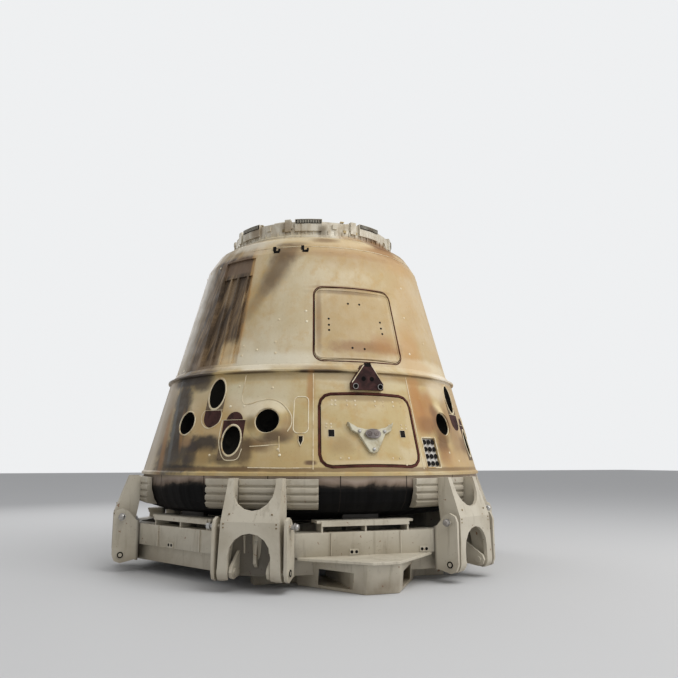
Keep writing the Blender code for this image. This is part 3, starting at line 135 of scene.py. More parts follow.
class Graph:
    """Adds nodes to a node tree and joins them with short calls."""

    def __init__(self, tree: bpy.types.NodeTree) -> None:
        """Take the tree that the nodes go into."""
        self.tree = tree

    def node(self, kind: str, **settings: object) -> bpy.types.Node:
        """Add a node and set its plain properties.

        Args:
            kind: the node's type name.
            settings: properties to set on it.

        Returns:
            The node.
        """
        made = self.tree.nodes.new(kind)
        for key, value in settings.items():
            setattr(made, key, value)
        return made

    def feed(self, socket: bpy.types.NodeSocket, value: object) -> None:
        """Join a socket to a value's socket, or set it to a plain value."""
        if isinstance(value, bpy.types.NodeSocket):
            self.tree.links.new(value, socket)
        else:
            socket.default_value = value

    def math(self, operation: str, first: object, second: object = 0.0, third: object = 0.0,
             clamp: bool = False) -> bpy.types.NodeSocket:
        """Work out one number from up to three.

        Args:
            operation: the Math node's operation.
            first: first number or socket.
            second: second number or socket.
            third: third number or socket.
            clamp: whether the result is held between 0 and 1.

        Returns:
            The result's socket.
        """
        made = self.node("ShaderNodeMath", operation=operation, use_clamp=clamp)
        for socket, value in zip(made.inputs, (first, second, third)):
            self.feed(socket, value)
        return made.outputs[0]

    def times(self, *values: object) -> bpy.types.NodeSocket:
        """Multiply numbers together, from the first on."""
        product = values[0]
        for value in values[1:]:
            product = self.math("MULTIPLY", product, value)
        return product

    def place(self) -> bpy.types.NodeSocket:
        """Where the shaded point is, in the object's own frame."""
        return self.node("ShaderNodeTexCoord").outputs["Object"]

    def split(self, vector: object) -> bpy.types.bpy_prop_collection:
        """The three numbers of a vector."""
        made = self.node("ShaderNodeSeparateXYZ")
        self.feed(made.inputs[0], vector)
        return made.outputs

    def mix(self, share: object, first: object, second: object) -> bpy.types.NodeSocket:
        """Mix two colours.

        Args:
            share: how much of the second shows.
            first: colour below.
            second: colour above.

        Returns:
            The mixed colour's socket.
        """
        made = self.node("ShaderNodeMix", data_type="RGBA")
        self.feed(made.inputs[0], share)
        self.feed(made.inputs[6], first)
        self.feed(made.inputs[7], second)
        return made.outputs[2]

    def step(self, value: object, low: object, high: object, first: float = 0.0, last: float = 1.0
             ) -> bpy.types.NodeSocket:
        """Ease a number from one value to another as it crosses a range.

        Args:
            value: the number's socket.
            low: where the range starts.
            high: where the range ends.
            first: result at the start.
            last: result at the end.

        Returns:
            The eased number's socket.
        """
        made = self.node("ShaderNodeMapRange", interpolation_type="SMOOTHSTEP")
        for socket, number in zip(made.inputs, (value, low, high, first, last)):
            self.feed(socket, number)
        return made.outputs[0]

    def noise(self, vector: object, scale: object, detail: float = 3.0, rough: float = 0.55,
              distort: float = 0.0) -> bpy.types.NodeSocket:
        """Read a cloudy noise.

        Args:
            vector: where it is read.
            scale: how many lumps to a unit.
            detail: octaves.
            rough: how strong the fine octaves are.
            distort: how far the lumps are pulled about.

        Returns:
            The noise's value socket.
        """
        made = self.node("ShaderNodeTexNoise")
        for key, number in (("Vector", vector), ("Scale", scale), ("Detail", detail),
                            ("Roughness", rough), ("Distortion", distort)):
            self.feed(made.inputs[key], number)
        return made.outputs["Fac"]

    def ramp(self, value: object, stops: tuple) -> bpy.types.NodeSocket:
        """Colour a number by stops of (place, colour).

        Args:
            value: the number's socket.
            stops: places and colours, lowest first.

        Returns:
            The colour's socket.
        """
        made = self.node("ShaderNodeValToRGB")
        elements = made.color_ramp.elements
        while len(elements) < len(stops):
            elements.new(0.5)
        for element, (place, colour) in zip(elements, stops):
            element.position = place
            element.color = colour
        self.feed(made.inputs[0], value)
        return made.outputs[0]

    def vector(self, x: object, y: object, z: object) -> bpy.types.NodeSocket:
        """Join three numbers into a vector."""
        made = self.node("ShaderNodeCombineXYZ")
        for socket, value in zip(made.inputs, (x, y, z)):
            self.feed(socket, value)
        return made.outputs[0]

    def use(self, group: bpy.types.NodeTree, **values: object) -> bpy.types.Node:
        """Place a node group and feed its named inputs.

        Args:
            group: the group's tree.
            values: input name, with _ for a space, to value or socket.

        Returns:
            The group's node.
        """
        made = self.node("ShaderNodeGroup")
        made.node_tree = group
        for key, value in values.items():
            self.feed(made.inputs[key.replace("_", " ")], value)
        return made


def new_group(name: str, inputs: tuple, outputs: tuple) -> tuple[bpy.types.NodeTree, Graph, dict, dict]:
    """Start a shader node group with named sockets.

    Args:
        name: the group's name.
        inputs: (name, kind) of each input, kind being Float, Vector or Color.
        outputs: (name, kind) of each output.

    Returns:
        The tree, its graph, the inputs by name and the outputs by name.
    """
    tree = bpy.data.node_groups.new(name, "ShaderNodeTree")
    for way, rows in (("INPUT", inputs), ("OUTPUT", outputs)):
        for label, kind in rows:
            tree.interface.new_socket(label, in_out=way, socket_type=f"NodeSocket{kind}")
    graph = Graph(tree)
    entry = graph.node("NodeGroupInput")
    leave = graph.node("NodeGroupOutput")
    return tree, graph, {s.name: s for s in entry.outputs}, {s.name: s for s in leave.inputs}


def unroll_group() -> bpy.types.NodeTree:
    """Group that turns a place into azimuth, height and two noise vectors.

    A noise vector is (s sin a, height, s cos a) at azimuth a, a drum of radius s, so that a noise
    closes at the back. Flat has s 1.6 and Drips 22, which draws the lumps out into drips.

    Returns:
        The group's tree.
    """
    tree, g, given, result = new_group(
        "unrolled_wall", (("Vector", "Vector"),),
        (("Azimuth", "Float"), ("Height", "Float"), ("Flat", "Vector"), ("Drips", "Vector")))
    x, y, z = g.split(given["Vector"])
    turn = g.math("ARCTAN2", x, g.times(y, -1.0))
    height = g.math("SUBTRACT", z, LIFT)
    g.feed(result["Azimuth"], g.math("DEGREES", turn))
    g.feed(result["Height"], height)
    across, ahead = g.math("SINE", turn), g.math("COSINE", turn)
    for name, size in (("Flat", 1.6), ("Drips", 22.0)):
        g.feed(result[name], g.vector(g.times(across, size), height, g.times(ahead, size)))
    return tree


def patch_mask_group() -> bpy.types.NodeTree:
    """Group that masks one leaning oval patch with a ragged edge, used for stains and for painted shade and
    light.

    The mask eases from 1 to 0 where the oval distance, moved in and out by the noise, passes 1.

    Returns:
        The group's tree.
    """
    numbers = ("Azimuth", "Height", "Middle", "Level", "Half Azimuth", "Half Height", "Lean",
               "Soft", "Ragged", "Noise", "Strength")
    tree, g, given, result = new_group(
        "patch_mask", tuple((name, "Float") for name in numbers), (("Mask", "Float"),))
    rise = g.math("SUBTRACT", given["Height"], given["Level"])
    middle = g.math("MULTIPLY_ADD", rise, given["Lean"], given["Middle"])
    across = g.math("DIVIDE", g.math("SUBTRACT", given["Azimuth"], middle), given["Half Azimuth"])
    up = g.math("DIVIDE", rise, given["Half Height"])
    far = g.math("SQRT", g.math("ADD", g.math("POWER", g.math("ABSOLUTE", across), 2.6),
                                g.math("POWER", g.math("ABSOLUTE", up), 2.6)))
    shift = g.times(g.math("SUBTRACT", given["Noise"], 0.5), given["Ragged"])
    mask = g.step(g.math("ADD", far, shift), g.math("SUBTRACT", 1.0, given["Soft"]),
                  g.math("ADD", 1.0, given["Soft"]), 1.0, 0.0)
    g.feed(result["Mask"], g.times(mask, given["Strength"]))
    return tree


def grime_group() -> bpy.types.NodeTree:
    """Group with a cloudy dirt mask and a mask of small chips."""
    tree, g, given, result = new_group(
        "grime", (("Vector", "Vector"), ("Cloud Scale", "Float"), ("Chip Scale", "Float")),
        (("Cloud", "Float"), ("Chips", "Float"), ("Grain", "Float")))
    cloud = g.noise(given["Vector"], given["Cloud Scale"], 5.0, 0.6, 0.4)
    chips = g.noise(given["Vector"], given["Chip Scale"], 2.0, 0.5)
    g.feed(result["Cloud"], g.step(cloud, 0.42, 0.68))
    g.feed(result["Chips"], g.step(chips, 0.70, 0.735))
    g.feed(result["Grain"], g.noise(given["Vector"], 160.0, 2.0))
    return tree


class PaintedShade(Enum):
    """Where painted shade darkens the cradle's paint; EVEN gets none."""

    EVEN = "even"
    # painted shade, darker low on the pads
    DOWN = "downwards on the pads"
    # painted shade: the rests above the shelves near black and the ring's inner part darker, under the shield
    SHADED_RESTS = "rubber rests above the shelves"
    # painted shade inside the corner units
    INSIDE = "inside the corner units"


@dataclass(frozen=True)
class Coat:
    """A finish: name, clean and worn display colours, roughness, specular level and metalness."""

    name: str
    clean: tuple
    worn: tuple
    rough: float
    shine: float = 0.5
    metallic: float = 0.0


@dataclass(frozen=True)
class OvalPatch:
    """One oval patch of colour on the wall: place, half sizes, lean in degrees a metre, edge and colour.

    Azimuths are in degrees and the colour is a display one.
    """

    middle: float
    level: float
    half_azimuth: float
    half_height: float
    lean: float
    soft: float
    ragged: float
    strength: float
    colour: tuple


# The patches are laid over each other in this order, the columns being the dataclass's fields; most are
# stains, the rows marked below are painted shade, highlight or sky reflection
WALL_PATCHES = tuple(OvalPatch(*row) for row in (
    # the right side, paler as a painted sky reflection and haze, and then warmer
    (54, 1.60, 22, 1.00, 0, 0.7, 0.9, 0.60, (196, 173, 138)),
    (52, 0.40, 20, 0.60, 0, 0.7, 0.9, 0.55, (178, 150, 116)),
    (22, 1.60, 4.0, 0.30, -2, 0.8, 0.9, 0.35, (196, 176, 136)),
    (24, 1.22, 6.0, 0.24, 0, 0.8, 1.5, 0.60, (184, 136, 78)),
    (28, 1.80, 8.0, 0.40, 0, 0.8, 1.5, 0.35, (184, 148, 100)),
    (32, 2.22, 14, 0.10, 0, 0.7, 1.4, 0.55, (184, 144, 92)),
    (-27, 1.60, 9, 0.60, 6, 0.8, 0.9, 0.35, (206, 196, 168)),
    (-38, 1.25, 8, 0.22, 0, 0.8, 0.8, 0.45, (212, 202, 176)),
    # soot streak from the rim down to the left, and the brown rim
    (-41.0, 1.76, 3.2, 0.24, 24, 0.8, 1.2, 0.52, (130, 105, 72)),
    (-34.4, 2.06, 5.6, 0.24, 17, 0.75, 1.2, 0.80, (100, 79, 54)),
    (-30.5, 2.26, 6.4, 0.11, 8, 0.7, 1.3, 0.72, (102, 78, 50)),
    (-52.5, 1.17, 4.8, 0.14, 8, 0.6, 1.0, 0.92, (206, 180, 136)),
    (-44.5, 2.15, 2.6, 0.22, 0, 0.8, 0.9, 0.60, (206, 188, 154)),
    (-28.5, 2.365, 8.5, 0.022, 0, 0.5, 1.6, 0.85, (72, 52, 34)),
    (-48, 2.31, 7.0, 0.05, 0, 0.7, 1.2, 0.60, (196, 178, 152)),
    (4, 2.19, 18, 0.10, 0, 0.8, 1.2, 0.45, (172, 142, 100)),
    (27, 2.315, 11, 0.045, 0, 0.7, 1.2, 0.65, (156, 116, 70)),
    (45, 2.33, 8.0, 0.060, 0, 0.7, 1.2, 0.55, (176, 156, 128)),
    (-60, 1.86, 3.6, 0.13, 0, 0.8, 1.2, 0.65, (150, 127, 98)),
    (2, 2.245, 26, 0.04, 0, 0.6, 2.0, 0.45, (166, 126, 80)),
    (-1, 2.32, 20, 0.10, 0, 0.8, 1.3, 0.50, (172, 138, 92)),
    # the side hatch
    (0, 1.46, 15.8, 0.355, 0, 0.12, 0.2, 0.55, (178, 152, 108)),
    (3, 1.225, 13, 0.055, 0, 0.8, 2.4, 0.70, (140, 96, 50)),
    (11, 1.26, 5, 0.10, 0, 0.8, 1.6, 0.60, (166, 116, 60)),
    (-15.6, 1.50, 1.1, 0.33, 0, 0.7, 0.8, 0.60, (130, 100, 66)),
    # painted shade below the hatch's top edge
    (-2, 1.800, 14, 0.022, 0, 0.8, 1.2, 0.70, (122, 96, 64)),
    (0, 1.850, 17, 0.020, 0, 0.5, 0.7, 0.75, (144, 112, 72)),
    # above and below the lip, with the painted shadow under the lip
    (-34, 1.075, 19, 0.085, 0, 0.7, 0.8, 0.80, (222, 214, 192)),
    (-43, 1.160, 3.2, 0.14, 0, 0.7, 0.8, 0.60, (222, 211, 184)),
    (-44, 0.780, 3.6, 0.08, 0, 0.7, 0.8, 0.70, (214, 204, 172)),
    (-60, 0.625, 2.6, 0.07, 0, 0.7, 0.8, 0.70, (222, 202, 164)),
    (-28.5, 0.62, 3.2, 0.06, 0, 0.7, 0.8, 0.55, (230, 217, 186)),
    (36, 1.055, 19, 0.085, 0, 0.7, 0.8, 0.75, (218, 204, 174)),
    (2, 1.075, 13, 0.040, 0, 0.7, 1.0, 0.45, (196, 178, 150)),
    (-28, 1.010, 9, 0.022, 0, 0.6, 1.3, 0.30, (176, 152, 112)),
    (-38, 1.000, 5, 0.030, 0, 0.6, 1.0, 0.75, (222, 212, 190)),
    (43, 0.975, 10, 0.045, 0, 0.6, 0.9, 0.85, (224, 214, 196)),
    (-14.5, 0.985, 6.5, 0.030, 0, 0.8, 1.0, 0.60, (128, 98, 62)),
    # the next six rows are painted shadow under the lip: thin dark lines just under it and a broader band
    # lower down
    (-15, 0.955, 8.5, 0.014, 0, 0.5, 1.0, 0.92, (62, 44, 28)),
    (-40, 0.955, 9, 0.012, 0, 0.5, 1.4, 0.75, (84, 64, 44)),
    (-31, 0.905, 16, 0.034, 0, 0.7, 0.7, 0.65, (146, 124, 84)),
    (-8, 0.905, 8.0, 0.034, 0, 0.7, 0.8, 0.60, (150, 126, 88)),
    (12, 0.950, 7.0, 0.016, 0, 0.5, 1.2, 0.75, (150, 122, 84)),
    (22, 0.900, 16, 0.036, 0, 0.7, 0.8, 0.65, (146, 112, 64)),
    (38, 0.890, 9, 0.040, 0, 0.7, 1.0, 0.50, (156, 130, 98)),
    (26, 1.070, 9, 0.050, 0, 0.7, 1.0, 0.50, (192, 156, 104)),
    (10, 0.840, 6.5, 0.05, 0, 0.7, 0.8, 0.55, (204, 192, 158)),
    # the next two rows are lighter cream above the near port, partly a painted highlight
    (-33, 0.74, 10, 0.13, 0, 0.8, 0.9, 0.60, (214, 204, 176)),
    (-37, 0.600, 5.0, 0.09, 0, 0.7, 0.8, 0.75, (226, 213, 185)),
    (-44, 0.660, 3.0, 0.08, 0, 0.7, 0.8, 0.65, (218, 204, 174)),
    (-36, 0.465, 2.6, 0.06, 0, 0.8, 1.2, 0.70, (118, 96, 60)),
    (-55, 0.72, 7.5, 0.16, 0, 0.7, 0.9, 0.70, (200, 182, 146)),
    (34, 0.84, 7.0, 0.10, 0, 0.7, 0.9, 0.70, (212, 196, 166)),
    # the bay door
    # painted shade under the bay door's top edge
    (0, 0.705, 14, 0.028, 0, 0.7, 1.0, 0.70, (146, 120, 80)),
    (-9.5, 0.26, 3.4, 0.07, 0, 0.9, 2.0, 0.50, (148, 116, 70)),
    (0, 0.105, 14, 0.022, 0, 0.8, 0.9, 0.60, (206, 188, 152)),
    (14.2, 0.40, 1.0, 0.27, 0, 0.8, 0.7, 0.40, (206, 186, 148)),
    # the lower wall's right, orange
    (19.6, 0.66, 3.0, 0.27, 0, 0.6, 0.9, 0.85, (172, 120, 64)),
    (24.5, 0.64, 4.0, 0.17, 0, 0.7, 1.2, 0.80, (164, 112, 58)),
    (22.5, 0.46, 4.5, 0.08, 0, 0.7, 1.0, 0.90, (142, 99, 54)),
    (30.6, 0.630, 2.2, 0.08, 0, 0.7, 0.8, 0.80, (214, 194, 150)),
    (28.6, 0.30, 3.2, 0.18, 0, 0.7, 1.4, 0.90, (112, 77, 40)),
    (30, 0.13, 5.0, 0.10, 0, 0.7, 1.2, 0.55, (176, 132, 82)),
    (39, 0.42, 5.0, 0.30, 0, 0.7, 1.6, 0.64, (148, 115, 78)),
    (46, 0.28, 4.0, 0.10, 0, 0.7, 1.6, 0.70, (104, 74, 46)),
    (27.6, 0.56, 2.0, 0.10, 0, 0.8, 1.2, 0.75, (110, 76, 44)),
    (34.5, 0.52, 2.0, 0.13, 0, 0.8, 1.2, 0.60, (126, 88, 50)),
    (40, 0.12, 8.0, 0.09, 0, 0.7, 1.6, 0.60, (196, 166, 120)),
    # painted shadow under the lip
    (25, 0.955, 7, 0.014, 0, 0.5, 1.6, 0.50, (120, 92, 60)),
    # the lower wall's left, sooty
    (-18.4, 0.78, 1.2, 0.17, 0, 0.7, 0.8, 0.75, (168, 122, 68)),
    (-30, 0.12, 11, 0.12, 0, 0.7, 0.9, 0.45, (180, 150, 98)),
    (-34.5, 0.265, 4.5, 0.060, 0, 0.7, 1.3, 0.80, (106, 77, 42)),
    (-28.0, 0.340, 4.4, 0.060, 0, 0.7, 1.3, 0.85, (82, 60, 40)),
    (-25.0, 0.440, 2.2, 0.090, 0, 0.8, 1.0, 0.60, (150, 118, 76)),
    (-52, 0.45, 9.0, 0.22, 0, 0.8, 1.2, 0.60, (182, 146, 90)),
    (-76.5, 0.48, 5.0, 0.50, -6, 0.8, 1.2, 0.70, (126, 102, 72)),
    (-66.5, 0.17, 9.5, 0.19, 0, 0.5, 1.9, 0.88, (62, 50, 38)),
    (-68.0, 0.60, 5.0, 0.44, -7, 0.5, 1.4, 0.94, (50, 39, 29)),
    (-69, 0.920, 12.5, 0.055, 0, 0.5, 1.2, 0.90, (48, 38, 30)),
    (-60, 0.88, 5.5, 0.075, 0, 0.6, 1.3, 0.85, (56, 42, 28)),
    (-70.5, 0.50, 1.0, 0.40, -8, 0.7, 0.8, 0.75, (98, 98, 94)),
    (-64.3, 0.42, 0.9, 0.16, -8, 0.8, 1.2, 0.70, (168, 124, 70)),
    (-73.5, 0.28, 1.6, 0.30, -8, 0.8, 1.2, 0.65, (160, 116, 66)),
    (-85, 0.55, 6.5, 0.60, 0, 0.7, 1.2, 0.60, (178, 162, 140)),
    (-52.5, 0.275, 5.6, 0.085, 0, 0.55, 1.8, 0.93, (42, 32, 24)),
    (-56.5, 0.17, 3.0, 0.13, 0, 0.6, 1.7, 0.85, (56, 43, 32)),
    (-51.5, 0.150, 2.8, 0.080, 0, 0.8, 1.2, 0.85, (158, 130, 82)),
    (-44.0, 0.140, 5.0, 0.055, 0, 0.6, 1.6, 0.75, (70, 54, 34)),
    (-37.4, 0.215, 2.2, 0.12, 0, 0.6, 1.3, 0.80, (84, 64, 40)),
    (-61, 0.055, 8.0, 0.034, 0, 0.6, 1.7, 0.90, (40, 31, 22)),
    (-60.5, 0.310, 2.0, 0.05, 0, 0.7, 1.0, 0.75, (158, 124, 84)),
    (-44, 0.048, 11.0, 0.022, 0, 0.7, 2.0, 0.80, (84, 62, 38)),
    (0, 0.042, 60, 0.020, 0, 0.6, 1.2, 0.72, (112, 84, 50)),
    (-18.2, 0.105, 1.6, 0.020, 0, 0.6, 1.2, 0.85, (86, 56, 38)),
    # charred lip at the left with the painted shadow under it, burnt shoulder at the right, pale shoulder in
    # front
    (-64, 0.985, 10, 0.030, 0, 0.4, 1.0, 0.90, (86, 70, 54)),
    # char and painted shadow under the lip
    (-65, 0.958, 10, 0.014, 0, 0.5, 1.0, 0.85, (52, 41, 32)),
    (-82, 0.985, 12, 0.028, 0, 0.5, 1.0, 0.75, (90, 78, 68)),
    (-62, 1.075, 8.5, 0.060, 0, 0.7, 1.0, 0.65, (140, 118, 92)),
    (-52, 1.080, 4.0, 0.055, 0, 0.7, 0.8, 0.85, (222, 198, 154)),
    (0, 2.40, 46, 0.050, 0, 0.6, 0.9, 0.60, (204, 182, 142)),
    (-32, 2.44, 20, 0.035, 0, 0.6, 0.9, 0.60, (204, 190, 160)),
    (24, 2.43, 8.0, 0.060, 2, 0.7, 1.2, 0.94, (110, 71, 30)),
    (38, 2.45, 12, 0.060, 0, 0.7, 1.3, 0.88, (132, 91, 44)),
    (43, 2.420, 10, 0.040, 0, 0.7, 1.0, 0.85, (160, 138, 108)),
    (22, 2.355, 12, 0.040, 0, 0.7, 1.2, 0.75, (150, 106, 56)),
    (-11, 2.42, 6.5, 0.036, 0, 0.7, 1.2, 0.85, (134, 106, 70)),
    (-54, 2.40, 15, 0.055, 0, 0.7, 0.9, 0.75, (210, 202, 184)),
))


COLLAR_STAINS = tuple(OvalPatch(*row) for row in (
    (36, 2.535, 20, 0.045, 0, 0.6, 1.0, 0.85, (132, 94, 50)),
    (8, 2.520, 9, 0.030, 0, 0.7, 1.0, 0.60, (178, 144, 96)),
    (-12, 2.585, 3, 0.060, 0, 0.7, 1.0, 0.75, (110, 98, 78)),
    (-60, 2.640, 5, 0.070, 0, 0.7, 1.2, 0.75, (132, 110, 80)),
    (-36, 2.640, 4, 0.060, 0, 0.7, 1.2, 0.60, (134, 114, 88)),
    (-40, 2.530, 22, 0.030, 0, 0.7, 1.0, 0.50, (206, 192, 160)),
))


def principled(name: str) -> tuple[bpy.types.Material, Graph, bpy.types.Node]:
    """Start a material with its Principled shader.

    Args:
        name: the material's name.

    Returns:
        The material, its graph and the shader node.
    """
    material = bpy.data.materials.new(name)
    material.use_nodes = True
    return material, Graph(material.node_tree), material.node_tree.nodes["Principled BSDF"]


def raise_bump(g: Graph, shader: bpy.types.Node, height: object, distance: float,
               strength: float = 0.6) -> None:
    """Feed a height to the shader's normal.

    Args:
        g: the material's graph.
        shader: its Principled node.
        height: the height's socket.
        distance: how far a height of 1 stands out.
        strength: how much of the bump shows.
    """
    bump = g.node("ShaderNodeBump")
    bump.inputs["Strength"].default_value = strength
    bump.inputs["Distance"].default_value = distance
    g.feed(bump.inputs["Height"], height)
    g.feed(shader.inputs["Normal"], bump.outputs[0])


class Finishes:
    """Every material of the part, each made once."""

    def __init__(self) -> None:
        """Build the shared groups and the materials."""
        self.unroll = unroll_group()
        self.patch_mask = patch_mask_group()
        self.grime = grime_group()
        self.wall = self.make_wall()
        self.tile = self.make_tile()
        self.metal = self.make_metal(
            Coat("weathered_metal", (196, 190, 174), (128, 106, 78), 0.5, metallic=0.15))
        self.seal = self.make_plain(Coat("seal_rubber", (78, 30, 16), (48, 20, 12), 0.7, 0.3))
        self.maroon = self.make_plain(Coat("maroon_coat", (68, 34, 30), (42, 22, 20), 0.6, 0.3))
        self.scoop = self.make_plain(Coat("scoop_coat", (66, 36, 30), (42, 25, 21), 0.7, 0.3))
        self.burnt = self.make_plain(Coat("burnt_margin", (112, 95, 74), (74, 61, 48), 0.7, 0.3))
        self.faint = self.make_plain(Coat("faint_head", (234, 224, 196), (200, 178, 138), 0.6))
        self.line = self.make_plain(Coat("line_coat", (220, 206, 174), (188, 165, 124), 0.6))
        self.cup = self.make_plain(Coat("cup_grey", (124, 112, 106), (88, 77, 72), 0.45))
        self.nozzle = self.make_plain(Coat("nozzle_soot", (20, 18, 14), (7, 7, 6), 0.8, 0.12))
        self.cradle = self.make_cradle("cradle_paint", PaintedShade.EVEN)
        # painted shade: low on the pads, on the ring's rests and inner part, inside the corner units
        self.pad = self.make_cradle("pad_paint_shaded_low", PaintedShade.DOWN)
        self.ring = self.make_cradle("ring_paint_shaded_rests", PaintedShade.SHADED_RESTS)
        self.corner = self.make_cradle("corner_paint_shaded_inside", PaintedShade.INSIDE)
        self.steel = self.make_metal(Coat("pin_steel", (190, 188, 184), (110, 100, 90), 0.25, metallic=1.0))
        self.rim = self.make_plain(Coat("port_rim", (216, 202, 170), (176, 146, 100), 0.55))
        self.claw = self.make_plain(Coat("claw_paint", (200, 194, 170), (164, 152, 122), 0.5))
        self.boss = self.make_plain(Coat("boss_plate", (142, 132, 128), (104, 96, 92), 0.5))
        # near black for dark parts and joints, and as painted shade for holes and the slot
        self.dark = self.make_plain(Coat("dark_and_hole_shade", (22, 18, 15), (9, 8, 7), 0.8, 0.2))
        self.collar = self.make_collar()
        self.brass = self.make_metal(Coat("plated_bolt", (150, 132, 96), (90, 72, 48), 0.45, metallic=0.8))
        self.white = self.make_plain(Coat("white_socket", (206, 202, 194), (150, 140, 126), 0.5))

    def make_plain(self, coat: Coat) -> bpy.types.Material:
        """Make a matt coat with cloudy wear.

        Args:
            coat: its name, colours and roughness.

        Returns:
            The material.
        """
        material, g, shader = principled(coat.name)
        worn = linear(*coat.worn)
        shader.inputs["Specular IOR Level"].default_value = coat.shine
        dirt = g.use(self.grime, Vector=g.place(), Cloud_Scale=9.0, Chip_Scale=60.0)
        tint = g.mix(dirt.outputs["Cloud"], linear(*coat.clean), worn)
        g.feed(shader.inputs["Base Color"], g.mix(dirt.outputs["Chips"], tint, worn))
        g.feed(shader.inputs["Roughness"], g.step(dirt.outputs["Cloud"], 0, 1, coat.rough, coat.rough + 0.2))
        raise_bump(g, shader, dirt.outputs["Grain"], 0.0006)
        return material

    def make_metal(self, coat: Coat) -> bpy.types.Material:
        """Make a weathered metal.

        Args:
            coat: its name, colours, roughness and metalness where it is clean.

        Returns:
            The material.
        """
        material, g, shader = principled(coat.name)
        worn = linear(*coat.worn)
        dirt = g.use(self.grime, Vector=g.place(), Cloud_Scale=5.0, Chip_Scale=26.0)
        tint = g.mix(g.times(dirt.outputs["Cloud"], 0.7), linear(*coat.clean), worn)
        g.feed(shader.inputs["Base Color"], g.mix(dirt.outputs["Chips"], tint, worn))
        g.feed(shader.inputs["Metallic"], g.step(dirt.outputs["Cloud"], 0, 1, coat.metallic, 0.1))
        g.feed(shader.inputs["Roughness"], g.step(dirt.outputs["Cloud"], 0, 1, coat.rough, 0.8))
        raise_bump(g, shader, dirt.outputs["Grain"], 0.0008)
        return material

    def lay_patches(self, g: Graph, base: object, rows: tuple, flat: object, noise: object
                   ) -> bpy.types.NodeSocket:
        """Lay oval patches, stains and painted light and shade, over a colour in their order.

        Args:
            g: the material's graph.
            base: the colour below.
            rows: the patches.
            flat: outputs of the unrolled wall.
            noise: the noise that makes their edges ragged.

        Returns:
            The colour's socket with the patches laid on.
        """
        for row in rows:
            mask = g.use(self.patch_mask, Azimuth=flat["Azimuth"], Height=flat["Height"], Middle=row.middle,
                         Level=row.level, Half_Azimuth=row.half_azimuth, Half_Height=row.half_height,
                         Lean=row.lean, Soft=row.soft, Ragged=row.ragged, Noise=noise,
                         Strength=row.strength)
            base = g.mix(mask.outputs[0], base, linear(*row.colour))
        return base

    def char_left(self, g: Graph, base: object, flat: object, broad: object, mottle: object,
                  drips: object) -> bpy.types.NodeSocket:
        """Char the left side in streaks that lean with the flow, and pale the wall beyond it.

        Args:
            g: the material's graph.
            base: the colour below.
            flat: outputs of the unrolled wall.
            broad: the wall's widest noise.
            mottle: its finer noise.
            drips: its noise of drips.

        Returns:
            The charred colour's socket.
        """
        azimuth, height = flat["Azimuth"], flat["Height"]
        streaky = g.noise(flat["Drips"], 2.4, 3.0, 0.6)
        lean = g.math("MULTIPLY_ADD", height, -12.0, azimuth)
        streak = g.noise(g.vector(g.times(lean, 0.30), g.times(height, 0.9), 0.0), 1.0, 5.0, 0.62, 0.6)
        side = g.times(g.step(azimuth, -179.0, -140.0), g.step(azimuth, -49.3, -46.2, 1.0, 0.0))
        high = g.times(g.step(height, 0.99, 1.04), g.step(height, 2.25, 2.30, 1.0, 0.55))
        burnt = g.ramp(streak, ((0.30, linear(52, 40, 31)), (0.46, linear(84, 67, 50)),
                                (0.58, linear(118, 96, 70)), (0.72, linear(172, 146, 108))))
        pale = g.mix(g.step(drips, 0.40, 0.68, 0.0, 0.65), linear(228, 223, 214), linear(192, 178, 154))
        pale = g.mix(g.step(broad, 0.44, 0.62, 0.0, 0.55), pale, linear(200, 184, 156))
        base = g.mix(g.times(side, g.step(azimuth, -85.0, -68.0, 0.95, 0.0)), base, pale)
        burnt = g.mix(g.step(streaky, 0.50, 0.66, 0.0, 0.65), burnt, linear(48, 37, 28))
        burnt = g.mix(g.step(streaky, 0.34, 0.44, 0.35, 0.0), burnt, linear(158, 132, 98))
        base = g.mix(g.times(side, high, g.step(azimuth, -87.0, -70.0, 0.10, 0.97)), base, burnt)
        pocket = g.times(g.step(azimuth, -67.5, -66.5), g.step(azimuth, -48.5, -47.5, 1.0, 0.0),
                         g.step(height, 2.055, 2.085), g.step(height, 2.235, 2.255, 0.85, 0.0))
        base = g.mix(pocket, base, linear(116, 95, 75))
        edge = g.times(g.step(azimuth, -49.4, -48.2), g.step(azimuth, -46.4, -45.2, 1.0, 0.0), high,
                       g.step(mottle, 0.30, 0.55, 0.35, 0.95))
        return g.mix(edge, base, linear(186, 146, 92))

    def weather_rear(self, g: Graph, base: object, flat: object, broad: object, drips: object
                     ) -> bpy.types.NodeSocket:
        """Brown the right rear in clouds with drips, and soot the lower wall at the left rear.

        Args:
            g: the material's graph.
            base: the colour below.
            flat: outputs of the unrolled wall.
            broad: the wall's widest noise.
            drips: its noise of drips.

        Returns:
            The weathered colour's socket.
        """
        azimuth = flat["Azimuth"]
        right = g.times(g.step(broad, 0.44, 0.62), g.step(azimuth, 70.0, 130.0, 0.0, 0.6),
                        g.step(azimuth, 140.0, 179.0, 1.0, 0.0), g.step(drips, 0.3, 0.7, 0.3, 1.0))
        base = g.mix(right, base, linear(140, 112, 80))
        left = g.times(g.step(broad, 0.40, 0.58), g.step(azimuth, -110.0, -82.0, 0.7, 0.0),
                       g.step(azimuth, -179.0, -135.0), g.step(flat["Height"], 0.95, 1.0, 1.0, 0.0))
        return g.mix(left, base, linear(104, 84, 62))

